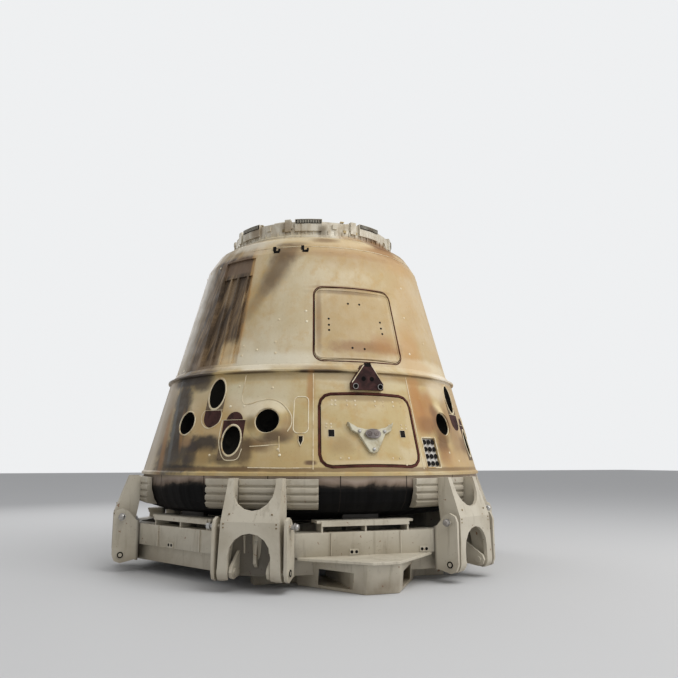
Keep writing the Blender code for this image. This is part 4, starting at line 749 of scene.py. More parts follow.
    def make_wall(self) -> bpy.types.Material:
        """Make the scorched paint of the walls: warm cream with the re-entry's stains, painted shadow under
        the lip and the hatch's and door's tops, a partly painted highlight above the near port and a painted
        sky reflection at the right.
        """
        material, g, shader = principled("scorched_wall")
        flat = g.use(self.unroll, Vector=g.place()).outputs
        broad = g.noise(flat["Flat"], 1.7, 4.0, 0.6, 0.5)
        mottle = g.noise(flat["Flat"], 9.0, 5.0, 0.62)
        drips = g.noise(flat["Drips"], 1.0, 3.0, 0.6)
        fine = g.noise(flat["Flat"], 55.0, 3.0, 0.6)
        base = g.mix(g.step(flat["Height"], 0.95, 1.05), LOWER_TAN, UPPER_TAN)
        base = g.mix(g.step(broad, 0.42, 0.66, 0.0, 0.5), base, CREAM)
        base = g.mix(g.step(mottle, 0.46, 0.70, 0.0, 0.42), base, GOLD)
        base = g.mix(g.step(drips, 0.52, 0.74, 0.0, 0.30), base, linear(176, 142, 96))
        base = self.char_left(g, base, flat, broad, mottle, drips)
        base = self.weather_rear(g, base, flat, broad, drips)
        # stains, with painted shadow under the lip and ledges, a partly painted highlight and a painted sky
        # reflection
        base = self.lay_patches(g, base, WALL_PATCHES, flat, mottle)
        base = g.mix(g.step(fine, 0.60, 0.72, 0.0, 0.18), base, linear(120, 92, 60))
        g.feed(shader.inputs["Base Color"], base)
        g.feed(shader.inputs["Roughness"], g.step(mottle, 0.3, 0.7, 0.48, 0.72))
        raise_bump(g, shader, g.math("ADD", g.times(mottle, 0.7), g.times(fine, 0.3)), 0.004, 0.5)
        return material

    def make_collar(self) -> bpy.types.Material:
        """Make the collar's whitish grey metal, rusty in patches and brown at its right foot."""
        material, g, shader = principled("collar_metal")
        place = g.place()
        flat = g.use(self.unroll, Vector=place).outputs
        dirt = g.use(self.grime, Vector=place, Cloud_Scale=4.0, Chip_Scale=26.0)
        drips = g.noise(flat["Drips"], 1.4, 3.0, 0.6)
        tint = g.mix(g.times(dirt.outputs["Cloud"], 0.6), linear(210, 203, 186), linear(150, 130, 98))
        tint = g.mix(g.step(drips, 0.54, 0.70, 0.0, 0.55), tint, linear(136, 118, 92))
        g.feed(shader.inputs["Base Color"], self.lay_patches(g, tint, COLLAR_STAINS, flat, drips))
        g.feed(shader.inputs["Roughness"], g.step(dirt.outputs["Cloud"], 0, 1, 0.5, 0.8))
        g.feed(shader.inputs["Metallic"], g.step(dirt.outputs["Cloud"], 0, 1, 0.15, 0.0))
        raise_bump(g, shader, dirt.outputs["Grain"], 0.0010)
        return material

    def make_tile(self) -> bpy.types.Material:
        """Make the heat shield's tiles: a pinkish grey band that chars to black below."""
        material, g, shader = principled("charred_tiles")
        flat = g.use(self.unroll, Vector=g.place()).outputs
        cloud = g.noise(flat["Flat"], 2.6, 4.0, 0.6, 0.3)
        streak = g.noise(flat["Drips"], 1.0, 4.0, 0.6)
        depth = g.times(flat["Height"], -1.0)
        wander = g.math("MULTIPLY_ADD", g.math("SUBTRACT", cloud, 0.5), 0.20, depth)
        wander = g.math("MULTIPLY_ADD", g.math("SUBTRACT", streak, 0.5), 0.02, wander)
        tint = g.ramp(g.math("DIVIDE", wander, 0.16), (
            (0.02, linear(172, 156, 134)), (0.25, linear(164, 148, 134)), (0.48, linear(128, 112, 98)),
            (0.66, linear(46, 40, 35)), (0.82, linear(13, 12, 11)), (1.0, linear(8, 7, 7))))
        side = g.step(flat["Azimuth"], -76.0, -56.0, 0.42, 0.0)
        tint = g.mix(side, tint, linear(30, 25, 21))
        drip = g.times(g.step(streak, 0.58, 0.74, 0.0, 0.35), g.step(depth, 0.06, 0.20, 1.0, 0.0))
        tint = g.mix(drip, tint, linear(70, 60, 52))
        place_in_tile = g.math("ABSOLUTE", g.math("SUBTRACT", g.math("FRACT", g.math(
            "MULTIPLY_ADD", flat["Azimuth"], 0.05, 9.0)), 0.5))
        seam = g.step(place_in_tile, 0.006, 0.010, 1.0, 0.0)
        tint = g.mix(g.times(seam, 0.8), tint, linear(30, 25, 22))
        g.feed(shader.inputs["Base Color"], tint)
        shader.inputs["Specular IOR Level"].default_value = 0.15
        g.feed(shader.inputs["Roughness"], g.step(streak, 0.3, 0.7, 0.65, 0.90))
        relief = g.math("SUBTRACT", g.math("ADD", cloud, g.times(streak, 0.4)), seam)
        raise_bump(g, shader, relief, 0.006, 0.5)
        return material

    def make_cradle(self, name: str, grime: PaintedShade) -> bpy.types.Material:
        """Make the cradle's off-white paint with dirt, scuffs, small rust spots, patches darker towards the
        floor, and the painted shade of its kind.

        Args:
            name: the material's name.
            grime: which painted shade the paint gets.

        Returns:
            The material.
        """
        material, g, shader = principled(name)
        place = g.place()
        x, y, z = g.split(place)
        dirt = g.use(self.grime, Vector=place, Cloud_Scale=2.4, Chip_Scale=21.0)
        speck = g.noise(place, 48.0, 3.0, 0.6)
        low = g.step(z, 0.06, 0.22, 0.85, 0.06)
        tint = g.mix(g.times(dirt.outputs["Cloud"], 0.55), linear(196, 188, 170), linear(166, 155, 134))
        tint = g.mix(g.times(low, g.noise(place, 5.0, 4.0)), tint, linear(124, 108, 86))
        drips = g.noise(g.vector(g.times(x, 9.0), g.times(y, 9.0), z), 2.0, 3.0)
        tint = g.mix(g.step(drips, 0.56, 0.72, 0.0, 0.35), tint, linear(136, 124, 102))
        tint = g.mix(g.step(speck, 0.66, 0.72, 0.0, 0.55), tint, linear(140, 122, 98))
        tint = g.mix(g.times(dirt.outputs["Chips"], 0.8), tint, linear(128, 84, 54))
        far = g.math("SQRT", g.math("ADD", g.math("POWER", x, 2.0), g.math("POWER", y, 2.0)))
        # painted shade: low on the pads, near black on the ring's rests and darker on its inner part under
        # the shield, darker inside the corner units
        if grime is PaintedShade.DOWN:
            tint = g.mix(g.step(z, 0.68, 0.95, 0.60, 0.0), tint, linear(108, 98, 80))
        elif grime is PaintedShade.SHADED_RESTS:
            tint = g.mix(g.step(z, 0.5725, 0.5735), tint, linear(14, 13, 12))
            tint = g.mix(g.step(far, 1.66, 1.70, 0.75, 0.0), tint, linear(52, 47, 40))
        elif grime is PaintedShade.INSIDE:
            tint = g.mix(g.step(far, 1.930, 1.960, 0.78, 0.0), tint, linear(62, 55, 46))
        g.feed(shader.inputs["Base Color"], tint)
        g.feed(shader.inputs["Roughness"], g.step(dirt.outputs["Cloud"], 0, 1, 0.48, 0.68))
        raise_bump(g, shader, g.noise(place, 90.0, 3.0), 0.0012)
        return material


# Meshes


def wall_radius(height: np.ndarray) -> np.ndarray:
    """Outer radius of the walls at heights: two cones, the upper one set in at the lip."""
    return np.where(height < LOWER_TOP, BASE_RADIUS - height * TAPER,
                    UPPER_RADIUS - (height - MID_TOP) * TAPER)


def on_wall(azimuth: np.ndarray, height: np.ndarray, proud: float = 0.0) -> np.ndarray:
    """Points on a wall: the cone's point at azimuth and height, moved out along its normal.

    Args:
        azimuth: degrees.
        height: above the base plane.
        proud: distance out of the wall.

    Returns:
        Points with a last axis of x, y and z.
    """
    azimuth, height = np.broadcast_arrays(np.asarray(azimuth, float), np.asarray(height, float))
    turn = np.radians(azimuth)
    radius = wall_radius(height) + proud * math.cos(SLOPE)
    return np.stack([radius * np.sin(turn), -radius * np.cos(turn),
                     LIFT + height + proud * math.sin(SLOPE)], -1)


def level_axes(azimuth: np.ndarray) -> np.ndarray:
    """Unit vectors across, level outwards and upwards at azimuths in degrees, one row for each."""
    turn = np.radians(np.asarray(azimuth, float))
    zero, one = np.zeros_like(turn), np.ones_like(turn)
    return np.stack([np.stack([np.cos(turn), np.sin(turn), zero], -1),
                     np.stack([np.sin(turn), -np.cos(turn), zero], -1),
                     np.stack([zero, zero, one], -1)])


def wall_axes(azimuth: np.ndarray) -> tuple[np.ndarray, np.ndarray, np.ndarray]:
    """Unit vectors across, up the slope and out of the wall at azimuths in degrees."""
    across, level, rise = level_axes(azimuth)
    out = level * math.cos(SLOPE) + rise * math.sin(SLOPE)
    return across, np.cross(out, across), out


def lifted(points: np.ndarray, rise: float) -> np.ndarray:
    """Points at the wall, moved out of it by a rise."""
    azimuth = np.degrees(np.arctan2(points[:, 0], -points[:, 1]))
    return points + wall_axes(azimuth)[2] * rise


def unit(vectors: np.ndarray) -> np.ndarray:
    """Vectors scaled to length 1."""
    return vectors / np.linalg.norm(vectors, axis=-1, keepdims=True)


@dataclass
class Mesh:
    """Points and faces of one piece, gathered from several surfaces."""

    points: list = field(default_factory=list)
    faces: list = field(default_factory=list)
    count: int = 0

    def add(self, points: np.ndarray, faces: list) -> "Mesh":
        """Add points and the faces that index them."""
        points = np.asarray(points, float).reshape(-1, 3)
        self.faces += [tuple(int(i) + self.count for i in face) for face in faces]
        self.points.append(points)
        self.count += len(points)
        return self

    def join(self, *others: "Mesh") -> "Mesh":
        """Add whole meshes to this one."""
        for other in others:
            self.add(np.concatenate(other.points), other.faces)
        return self

    def grid(self, places: np.ndarray, wrap_u: bool = False, wrap_v: bool = False,
             caps: bool = False) -> "Mesh":
        """Add a grid of points as quads, joined round where it wraps.

        Args:
            places: points of shape (u, v, 3).
            wrap_u: whether the first axis closes on itself.
            wrap_v: whether the second axis closes on itself.
            caps: whether the first and last rows are filled.

        Returns:
            This mesh.
        """
        rows, columns = places.shape[:2]
        u = np.arange(rows if wrap_u else rows - 1)
        v = np.arange(columns if wrap_v else columns - 1)
        u, v = [part.ravel() for part in np.meshgrid(u, v, indexing="ij")]
        up, right = (u + 1) % rows, (v + 1) % columns
        faces = np.stack([u * columns + v, u * columns + right, up * columns + right,
                          up * columns + v], -1).tolist()
        if caps:
            faces.append(list(range(columns))[::-1])
            faces.append(list(range((rows - 1) * columns, rows * columns)))
        return self.add(places, faces)

    def stamp(self, template: "Mesh", origins: np.ndarray, across: np.ndarray, up: np.ndarray,
              out: np.ndarray) -> "Mesh":
        """Repeat a template at origins, its axes along the given vectors.

        Args:
            template: a small mesh drawn about the origin.
            origins: points of shape (n, 3).
            across: the template's x axis at each point.
            up: its y axis.
            out: its z axis.

        Returns:
            This mesh.
        """
        local = np.concatenate(template.points)
        origins = np.atleast_2d(origins)
        axes = np.stack([np.broadcast_to(a, origins.shape) for a in (across, up, out)], 1)
        placed = origins[:, None] + np.einsum("pk,nkc->npc", local, axes)
        for points in placed:
            self.add(points, template.faces)
        return self

    def build(self, name: str, material: bpy.types.Material, slot: Slot, body: str = ROOT,
              smooth: float = 35.0) -> bpy.types.Object:
        """Make the object, turn its faces out, shade it and ride it on a body.

        Args:
            name: the piece's name.
            material: its material.
            slot: the record's slot that its finish comes from; not used.
            body: the frame's body that it moves with.
            smooth: angle in degrees under which an edge is shaded round.

        Returns:
            The finished object.
        """
        mesh = bpy.data.meshes.new(name)
        mesh.from_pydata(np.concatenate(self.points).tolist(), [], self.faces)
        work = bmesh.new()
        work.from_mesh(mesh)
        bmesh.ops.remove_doubles(work, verts=work.verts, dist=1e-6)
        bmesh.ops.recalc_face_normals(work, faces=work.faces)
        work.to_mesh(mesh)
        work.free()
        mesh.shade_smooth()
        mesh.set_sharp_from_angle(angle=math.radians(smooth))
        mesh.materials.append(material)
        piece = bpy.data.objects.new(name, mesh)
        bpy.context.scene.collection.objects.link(piece)
        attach(piece, body)
        LOG.info("%s: %d faces on %s", name, len(mesh.polygons), body)
        return piece


def box_mesh(sizes: tuple) -> Mesh:
    """A box of three sizes centred on the origin: corners at plus and minus half of each."""
    signs = np.array([(x, y, z) for z in (-1, 1) for y in (-1, 1) for x in (-1, 1)], float)
    faces = [(0, 2, 3, 1), (4, 5, 7, 6), (0, 1, 5, 4), (2, 6, 7, 3), (0, 4, 6, 2), (1, 3, 7, 5)]
    return Mesh().add(signs * np.array(sizes) / 2, faces)


def lathe(profile: tuple, sides: int) -> Mesh:
    """A turned solid: the profile's (radius, height) points swept round the z axis.

    Args:
        profile: points from the axis round to the axis again.
        sides: steps round the axis.

    Returns:
        The mesh, whose poles are closed when doubles are merged.
    """
    turns = np.arange(sides) * math.tau / sides
    radius, height = np.array(profile, float).T
    places = np.stack([radius[None] * np.cos(turns)[:, None], radius[None] * np.sin(turns)[:, None],
                       np.broadcast_to(height, (sides, len(height)))], -1)
    return Mesh().grid(places, wrap_u=True)


def sweep(path: np.ndarray, across: np.ndarray, out: np.ndarray, profile: np.ndarray,
          closed: bool = True) -> Mesh:
    """A closed profile carried along a path: point = path + x across + y out.

    Args:
        path: points along the way.
        across: vector for the profile's x at each point.
        out: vector for the profile's y.
        profile: (x, y) points of the closed section.
        closed: whether the path ends where it starts.

    Returns:
        The mesh.
    """
    profile = np.asarray(profile, float)
    places = (path[:, None] + profile[None, :, :1] * across[:, None]
              + profile[None, :, 1:] * out[:, None])
    return Mesh().grid(places, wrap_u=closed, wrap_v=True, caps=not closed)


def bead(width: float, height: float, sides: int = 8) -> np.ndarray:
    """A half round section of a width and height that sits on its flat side, sunk a little."""
    turns = np.linspace(0, math.pi, sides)
    arch = np.stack([np.cos(turns) * width / 2, np.sin(turns) * height], -1)
    return np.concatenate([arch, [[-width / 2, -height / 3], [width / 2, -height / 3]]])


def rounded_loop(half_azimuth: float, low: float, high: float, corner: float, steps: int = 8
                 ) -> np.ndarray:
    """A rounded rectangle on the wall as (azimuth, height) points about azimuth 0.

    Args:
        half_azimuth: half its width in degrees.
        low: lowest height.
        high: highest height.
        corner: corner radius in metres.
        steps: points in a corner.

    Returns:
        The closed run of points.
    """
    middle = float(wall_radius(np.array((low + high) / 2)))
    half = math.radians(half_azimuth) * middle
    loop = []
    for turn, x, y in ((0, half, high), (90, -half, high), (180, -half, low), (270, half, low)):
        angles = np.radians(turn + np.linspace(0, 90, steps))
        centre = (x - math.copysign(corner, x), y - corner if y == high else y + corner)
        loop.append(np.stack([centre[0] + corner * np.cos(angles), centre[1] + corner * np.sin(angles)], -1))
    loop = np.concatenate(loop)
    # long straight runs are split so that they follow the wall
    ahead = np.roll(loop, -1, 0)
    shares = np.linspace(0, 1, 9)[:-1]
    gaps = np.linalg.norm(ahead - loop, axis=1)
    runs = [here + (there - here) * s for here, there, gap in zip(loop, ahead, gaps)
            for s in (shares if gap > corner * 0.6 else (0.0,))]
    runs = np.array(runs)
    return np.stack([np.degrees(runs[:, 0] / middle), runs[:, 1]], -1)


def wall_bead(loop: np.ndarray, width: float, height: float) -> Mesh:
    """A half round bead along a closed run of (azimuth, height) points on the wall."""
    path = on_wall(loop[:, 0], loop[:, 1])
    out = wall_axes(loop[:, 0])[2]
    along = unit(np.roll(path, -1, 0) - np.roll(path, 1, 0))
    return sweep(path, np.cross(along, out), out, bead(width, height))


def wall_heads(template: Mesh, rows: tuple, proud: float = 0.0) -> Mesh:
    """A template repeated on the wall, its z axis outwards.

    Args:
        template: a small mesh drawn about the origin.
        rows: the (azimuth, height) places.
        proud: how far its origin stands out of the wall.

    Returns:
        The mesh.
    """
    azimuth, level = np.array(rows, float).T
    return Mesh().stamp(template, on_wall(azimuth, level, proud), *wall_axes(azimuth))


def wall_plate(azimuth: np.ndarray, height: np.ndarray, front: float = SIT, back: float = -SIT) -> Mesh:
    """A plate along the wall.

    Args:
        azimuth: degrees of its points, in rows that go up it.
        height: their heights.
        front: how far its face stands out of the wall.
        back: how far its back does.

    Returns:
        The mesh, closed.
    """
    top, bottom = [on_wall(azimuth, height, proud) for proud in (front, back)]
    return Mesh().grid(np.concatenate([top, bottom[:, ::-1]], 1), wrap_v=True, caps=True)


def wall_patch(azimuth: float, low: float, high: float, half: float, round_low: bool = False,
               round_high: bool = False) -> Mesh:
    """A thin plate on the wall whose ends may be round.

    Across it runs from -1 to 1 and up from 0 to 1. Its half width is the full one, narrowed to a
    half circle's where an end is round: half x sqrt(1 - d x d), d being how far past the end's centre.

    Args:
        azimuth: its middle in degrees.
        low: lowest height.
        high: highest height.
        half: half its width in metres.
        round_low: whether its lower end is round.
        round_high: whether its upper end is round.

    Returns:
        The mesh.
    """
    height = np.linspace(low, high, 41)
    below = np.clip((low + half - height) / half, 0, 1) if round_low else np.zeros_like(height)
    above = np.clip((height - high + half) / half, 0, 1) if round_high else np.zeros_like(height)
    width = half * np.sqrt(np.clip(1 - np.maximum(below, above) ** 2, 1e-4, 1))
    turn = np.degrees(width / wall_radius(height))
    return wall_plate(azimuth + turn[:, None] * np.linspace(-1, 1, 13), height[:, None])


def port_frame(group: float, row: tuple) -> tuple:
    """The mouth, axis and two cross vectors of a port.

    Args:
        group: azimuth of its group's middle.
        row: its row in PORTS.

    Returns:
        Mouth, outward axis, first and second cross vectors.
    """
    offset, height, _, pitch = row
    first, out, up = level_axes(group + offset)
    tilt = math.radians(pitch)
    axis = out * math.cos(tilt) + up * math.sin(tilt)
    return on_wall(group + offset, height), axis, first, np.cross(axis, first)


def mouth_loop(group: float, row: tuple, radius: float, turns: np.ndarray | None = None) -> np.ndarray:
    """Where a port's cylinder meets the wall, as points.

    Each point starts on the cylinder's section and slides along the axis until its distance
    from the capsule's axis is the cone's at its height, by Newton's steps.

    Args:
        group: azimuth of the port's group.
        row: the port's row in PORTS.
        radius: the cylinder's radius.
        turns: angles round it in radians, 64 all round if there are none.

    Returns:
        The points.
    """
    mouth, axis, first, second = port_frame(group, row)
    turns = np.arange(64) * math.tau / 64 if turns is None else turns
    points = mouth + radius * (np.cos(turns)[:, None] * first + np.sin(turns)[:, None] * second)
    for _ in range(12):
        far = np.hypot(points[:, 0], points[:, 1])
        error = far - (BASE_RADIUS - (points[:, 2] - LIFT) * TAPER)
        slope = (points[:, 0] * axis[0] + points[:, 1] * axis[1]) / far + axis[2] * TAPER
        points = points - (error / slope)[:, None] * axis
    return points


# Dressed copies of the frame's nodes


def body_of(node: str) -> str:
    """The body that a node of the frame belongs to."""
    bodies = frame["record"]["behaviour"]["bodies"]
    return next(name for name, nodes in bodies.items() if node in nodes)


def values_of(items: bpy.types.bpy_prop_collection, name: str, width: int, kind: type = float
              ) -> np.ndarray:
    """Read one property of every item.

    Args:
        items: the items.
        name: the property's name.
        width: how many numbers it has.
        kind: their type.

    Returns:
        The numbers, in rows where an item has more than one.
    """
    values = np.empty(len(items) * width, kind)
    items.foreach_get(name, values)
    return values.reshape(-1, width) if width > 1 else values


@dataclass
class Dressing:
    """How a node's copy is finished: its material and edge, and the record's slot, which is not used."""

    material: bpy.types.Material
    slot: Slot
    bevel: float = 0.0
    round_wall: bool = False

    def dress(self, node: str) -> bpy.types.Object:
        """Copy a node, merge its triangles, shade it and let the copy stand for it.

        On a wall the shading normal of each face near the cone is the cone's own, so that the
        facets don't show: the normal is (sin a cos s, -cos a cos s, sin s) at azimuth a.

        Args:
            node: the frame's node.

        Returns:
            The dressed copy.
        """
        mesh = frame["nodes"][node].data.copy()
        mesh.name = f"{node}_dressed"
        work = bmesh.new()
        work.from_mesh(mesh)
        bmesh.ops.remove_doubles(work, verts=work.verts, dist=2e-5)
        bmesh.ops.dissolve_limit(work, angle_limit=math.radians(0.6), verts=work.verts,
                                 edges=work.edges)
        bmesh.ops.recalc_face_normals(work, faces=work.faces)
        work.to_mesh(mesh)
        work.free()
        mesh.materials.clear()
        mesh.materials.append(self.material)
        mesh.shade_smooth()
        mesh.set_sharp_from_angle(angle=math.radians(30.0))
        piece = bpy.data.objects.new(f"{node}_dressed", mesh)
        bpy.context.scene.collection.objects.link(piece)
        if self.round_wall:
            self.shade_round(mesh)
        elif self.bevel:
            edge = piece.modifiers.new("edge", "BEVEL")
            edge.width = self.bevel
            edge.segments = 2
            edge.limit_method = "ANGLE"
            edge.angle_limit = math.radians(40.0)
            edge.harden_normals = True
        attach(piece, body_of(node))
        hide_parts(node)
        LOG.info("%s: dressed, %d faces", node, len(mesh.polygons))
        return piece

    def shade_round(self, mesh: bpy.types.Mesh) -> None:
        """Give the faces that lie along the axis's surface of turn that surface's normals."""
        vertex = values_of(mesh.loops, "vertex_index", 1, np.int64)
        places = values_of(mesh.vertices, "co", 3)[vertex]
        sizes = values_of(mesh.polygons, "loop_total", 1, np.int64)
        facing = np.repeat(values_of(mesh.polygons, "normal", 3), sizes, 0)
        radial = unit(places * (1, 1, 0) + 1e-9)
        side = np.hypot(facing[:, 0], facing[:, 1])
        turned = radial * side[:, None] * np.sign((facing * radial).sum(1))[:, None]
        turned[:, 2] = facing[:, 2]
        near = (unit(turned) * facing).sum(1) > math.cos(math.radians(7.0))
        mesh.normals_split_custom_set(np.where(near[:, None], unit(turned), facing).tolist())


# Sub-assemblies

# runs of (azimuth, height) along the light lines of the near port group
LINES = (
    ((-40.8, 0.930), (-41.0, 0.788), (-41.0, 0.700), (-40.2, 0.655), (-38.8, 0.645), (-36.8, 0.655),
     (-34.6, 0.678), (-32.0, 0.690), (-29.2, 0.675), (-27.0, 0.637), (-25.2, 0.580), (-24.2, 0.528),
     (-24.0, 0.475), (-24.3, 0.430), (-25.2, 0.385)),
    ((-36.2, 0.250), (-33.2, 0.255), (-29.8, 0.262), (-27.4, 0.266)),
    ((-27.6, 0.350), (-27.4, 0.266), (-27.2, 0.200)),
    ((-17.55, 0.045), (-17.55, 0.500), (-17.55, 0.935)),
    ((16.75, 0.045), (16.75, 0.500), (16.75, 0.935)),
    ((-55.0, 0.600), (-55.9, 0.548), (-54.9, 0.470), (-51.8, 0.424), (-48.4, 0.470), (-47.6, 0.545),
     (-48.2, 0.600)),
    ((-46.9, 0.500), (-46.9, 0.320), (-45.6, 0.205), (-44.2, 0.143), (-42.6, 0.126), (-39.6, 0.140),
     (-38.6, 0.230)),
    ((-36.0, 0.062), (-26.0, 0.058), (-18.0, 0.060)),
)


# azimuth and height of the single heads on the walls
HEADS = ((-44.6, 1.238), (-38.8, 1.190), (-44.8, 1.138), (-31.8, 1.263), (-31.4, 1.148), (-31.2, 1.498),
         (-20.6, 1.585), (-20.2, 1.473), (-42.7, 0.822), (-30.9, 0.799), (-44.8, 0.629), (-39.8, 0.628),
         (-27.6, 0.225), (-27.0, 0.173), (-49.2, 0.173), (23.0, 1.200), (25.0, 1.600), (28.0, 1.950),
         (35.0, 1.350), (31.0, 0.200), (36.0, 0.120))
# azimuth, lowest and highest point of the joints between panels
SEAMS = ((90.0, 0.04, 0.94), (162.0, 0.04, 0.94), (-162.0, 0.04, 0.94), (-90.0, 0.04, 0.94),
         (105.0, 1.06, 2.23), (180.0, 1.06, 2.23))
# the outline of the slot left of the bay door, as azimuth from its middle and height
SLOT_SHAPE = ((-0.72, 0.345), (0.72, 0.345), (0.72, 0.300), (0.0, 0.252), (-0.72, 0.300))


def smooth_run(points: np.ndarray, steps: int = 8) -> np.ndarray:
    """A smooth run through points: between two of them a cubic that keeps the slopes of both.

    Args:
        points: places of shape (n, 2).
        steps: new places to each gap.

    Returns:
        The finer run.
    """
    slopes = np.gradient(points, axis=0)
    share = (np.arange(steps) / steps)[None, :, None]
    here, there = points[:-1, None], points[1:, None]
    first, last = slopes[:-1, None], slopes[1:, None]
    run = ((2 * share ** 3 - 3 * share ** 2 + 1) * here + (share ** 3 - 2 * share ** 2 + share) * first
           + (3 * share ** 2 - 2 * share ** 3) * there + (share ** 3 - share ** 2) * last)
    return np.concatenate([run.reshape(-1, 2), points[-1:]])


@dataclass
class Walls:
    """The capsule's painted walls with their beads, fasteners and fairings."""

    finishes: Finishes
    rim_width: float = 0.014
    rim_height: float = 0.006
    blister_radius: float = 0.200
    blister_rise: float = 0.016
    # half width in degrees, lowest and highest point, and corner of the access panel's loop
    access: tuple = (2.25, 0.370, 0.710, 0.045)
    access_azimuth: float = -21.25
    slot_azimuth: float = -21.2

    def build(self) -> None:
        """Dress the panels and add the fine pieces."""
        wall = Dressing(self.finishes.wall, Slot.WALL, round_wall=True)
        for name in ("front", "right", "right_rear", "rear", "left_rear", "left"):
            wall.dress(f"lower_shell_{name}")
        for name in ("front", "right", "right_rear", "left_rear", "channel", "left"):
            wall.dress(f"upper_shell_{name}")
        for name in ("base_ring", "mid_ring", "shoulder_ring"):
            wall.dress(name)
        self.port_rims().build("port_rims", self.finishes.rim, Slot.WALL)
        self.blisters().build("port_blisters", self.finishes.wall, Slot.WALL, smooth=60.0)
        self.scoops().build("port_scoops", self.finishes.scoop, Slot.MAROON)
        self.scoop_sides().build("port_scoop_sides", self.finishes.burnt, Slot.MAROON)
        self.scoop_lines().build("scoop_lines", self.finishes.rim, Slot.WALL)
        loop = rounded_loop(*self.access) + (self.access_azimuth, 0.0)
        wall_bead(loop, 0.008, 0.0025).build("access_bead", self.finishes.faint, Slot.WALL)
        self.small_recess()
        self.fasteners().build("wall_fasteners", self.finishes.faint, Slot.WALL)
        self.seams().build("wall_seams", self.finishes.dark, Slot.WALL)
        self.lines().build("wall_lines", self.finishes.line, Slot.WALL)

    def lines(self) -> Mesh:
        """The thin raised light lines: panel edges, the line round the near port and a box below it."""
        made = Mesh()
        for path in LINES:
            azimuth, level = smooth_run(np.array(path, float)).T
            points = on_wall(azimuth, level)
            out = wall_axes(azimuth)[2]
            along = unit(np.gradient(points, axis=0))
            made.join(sweep(points, np.cross(along, out), out, bead(0.0095, 0.0020, 6), closed=False))
        return made

    def port_rims(self) -> Mesh:
        """The raised rim round each port, a low arch over the hole's edge.

        Its rows are mouth loops of growing radius, lifted out of the wall by 0, the full height and
        0 again.

        Returns:
            The mesh.
        """
        made = Mesh()
        for group in PORT_GROUPS:
            for row in PORTS:
                inner = row[2] * 0.94
                rows = ((inner, -0.004), (inner, 0.003), (inner + self.rim_width * 0.4, self.rim_height),
                        (inner + self.rim_width * 0.8, self.rim_height * 0.7),
                        (inner + self.rim_width, 0.0), (inner + self.rim_width, -0.002))
                rings = [lifted(mouth_loop(group, row, radius), rise) for radius, rise in rows]
                made.grid(np.array(rings), wrap_u=True, wrap_v=True)
        return made

    def blisters(self) -> Mesh:
        """The low round fairing about the port nearest the doors in each group.

        At a share s of the way out from the rim the rise is (1 - s) squared x (1 + 2 s), so it is
        level at the port and dies out smoothly on the wall.

        Returns:
            The mesh.
        """
        made = Mesh()
        for group in PORT_GROUPS:
            near = math.cos(math.radians(group)) > 0
            row = PORTS[3] if (math.sin(math.radians(group)) < 0) == near else PORTS[0]
            start = row[2] * 0.94 + self.rim_width * 0.6
            rings = [mouth_loop(group, row, start - 0.003)]
            for share in np.linspace(0, 1, 9):
                loop = mouth_loop(group, row, start + (self.blister_radius - start) * share)
                rise = self.blister_rise * (1 - share) ** 2 * (1 + 2 * share) + 0.0015
                rings.append(lifted(loop, rise - 0.003 * (share == 1)))
            made.grid(np.array(rings), wrap_v=True)
        return made

    def mouth_plate(self, group: float, row: tuple, half: float, low: float, high: float,
                    first: float, last: float) -> Mesh:
        """A thin plate between a port's mouth and a rectangle round it, over part of a turn.

        From the mouth's middle a ray at each angle meets the rectangle at the least of half / |cos|
        and the room above or below / |sin|. The plate runs from the mouth's rim to there.

        Args:
            group: azimuth of the port's group.
            row: the port's row in PORTS.
            half: half the rectangle's width in metres.
            low: its lowest height.
            high: its highest height.
            first: first angle in degrees, 90 being up.
            last: last angle.

        Returns:
            The plate, closed by its back 1 mm behind the wall.
        """
        turns = np.radians(np.linspace(first, last, 49))
        inner = mouth_loop(group, row, row[2] * 0.965, turns)
        across, rise = np.cos(turns), np.sin(turns)
        room = np.where(rise > 0, high - row[1], row[1] - low)
        reach = np.minimum(half / np.maximum(np.abs(across), 1e-4), room / np.maximum(np.abs(rise), 1e-4))
        level = row[1] + rise * reach
        azimuth = group + row[0] + np.degrees(across * reach / wall_radius(level))
        rings = (lifted(inner, SIT), on_wall(azimuth, level, SIT), on_wall(azimuth, level, -SIT),
                 lifted(inner, -SIT))
        return Mesh().grid(np.stack(rings, 1), wrap_v=True, caps=True)

    def scoops(self) -> Mesh:
        """The dark red plates: a half round below each high port, one above each low port."""
        made = Mesh()
        for group in PORT_GROUPS:
            high, low = PORTS[1], PORTS[2]
            made.join(wall_patch(group + high[0], 0.432, 0.594, 0.106, round_low=True),
                      wall_patch(group + low[0], 0.499, 0.575, 0.088, round_high=True),
                      self.mouth_plate(group, low, 0.116, 0.16, 0.496, 12.0, 168.0))
        return made

    def scoop_sides(self) -> Mesh:
        """The sooty margins at the sides of the high port's foot and round the low port's foot."""
        made = Mesh()
        for group in PORT_GROUPS:
            made.join(self.mouth_plate(group, PORTS[1], 0.108, 0.599, 0.90, 186.0, 354.0),
                      self.mouth_plate(group, PORTS[2], 0.122, 0.128, 0.49, 170.0, 370.0))
        return made

    def scoop_lines(self) -> Mesh:
        """The thin light joint across each dark red plate."""
        made = Mesh()
        for group in PORT_GROUPS:
            for row, level, half in ((PORTS[1], 0.597, 0.110), (PORTS[2], 0.498, 0.130)):
                turn = math.degrees(half / float(wall_radius(np.array(level))))
                azimuth = group + row[0] + np.linspace(-turn, turn, 13)
                _, up, out = wall_axes(azimuth)
                made.join(sweep(on_wall(azimuth, level, SIT), up, out, bead(0.005, 0.003), closed=False))
        return made

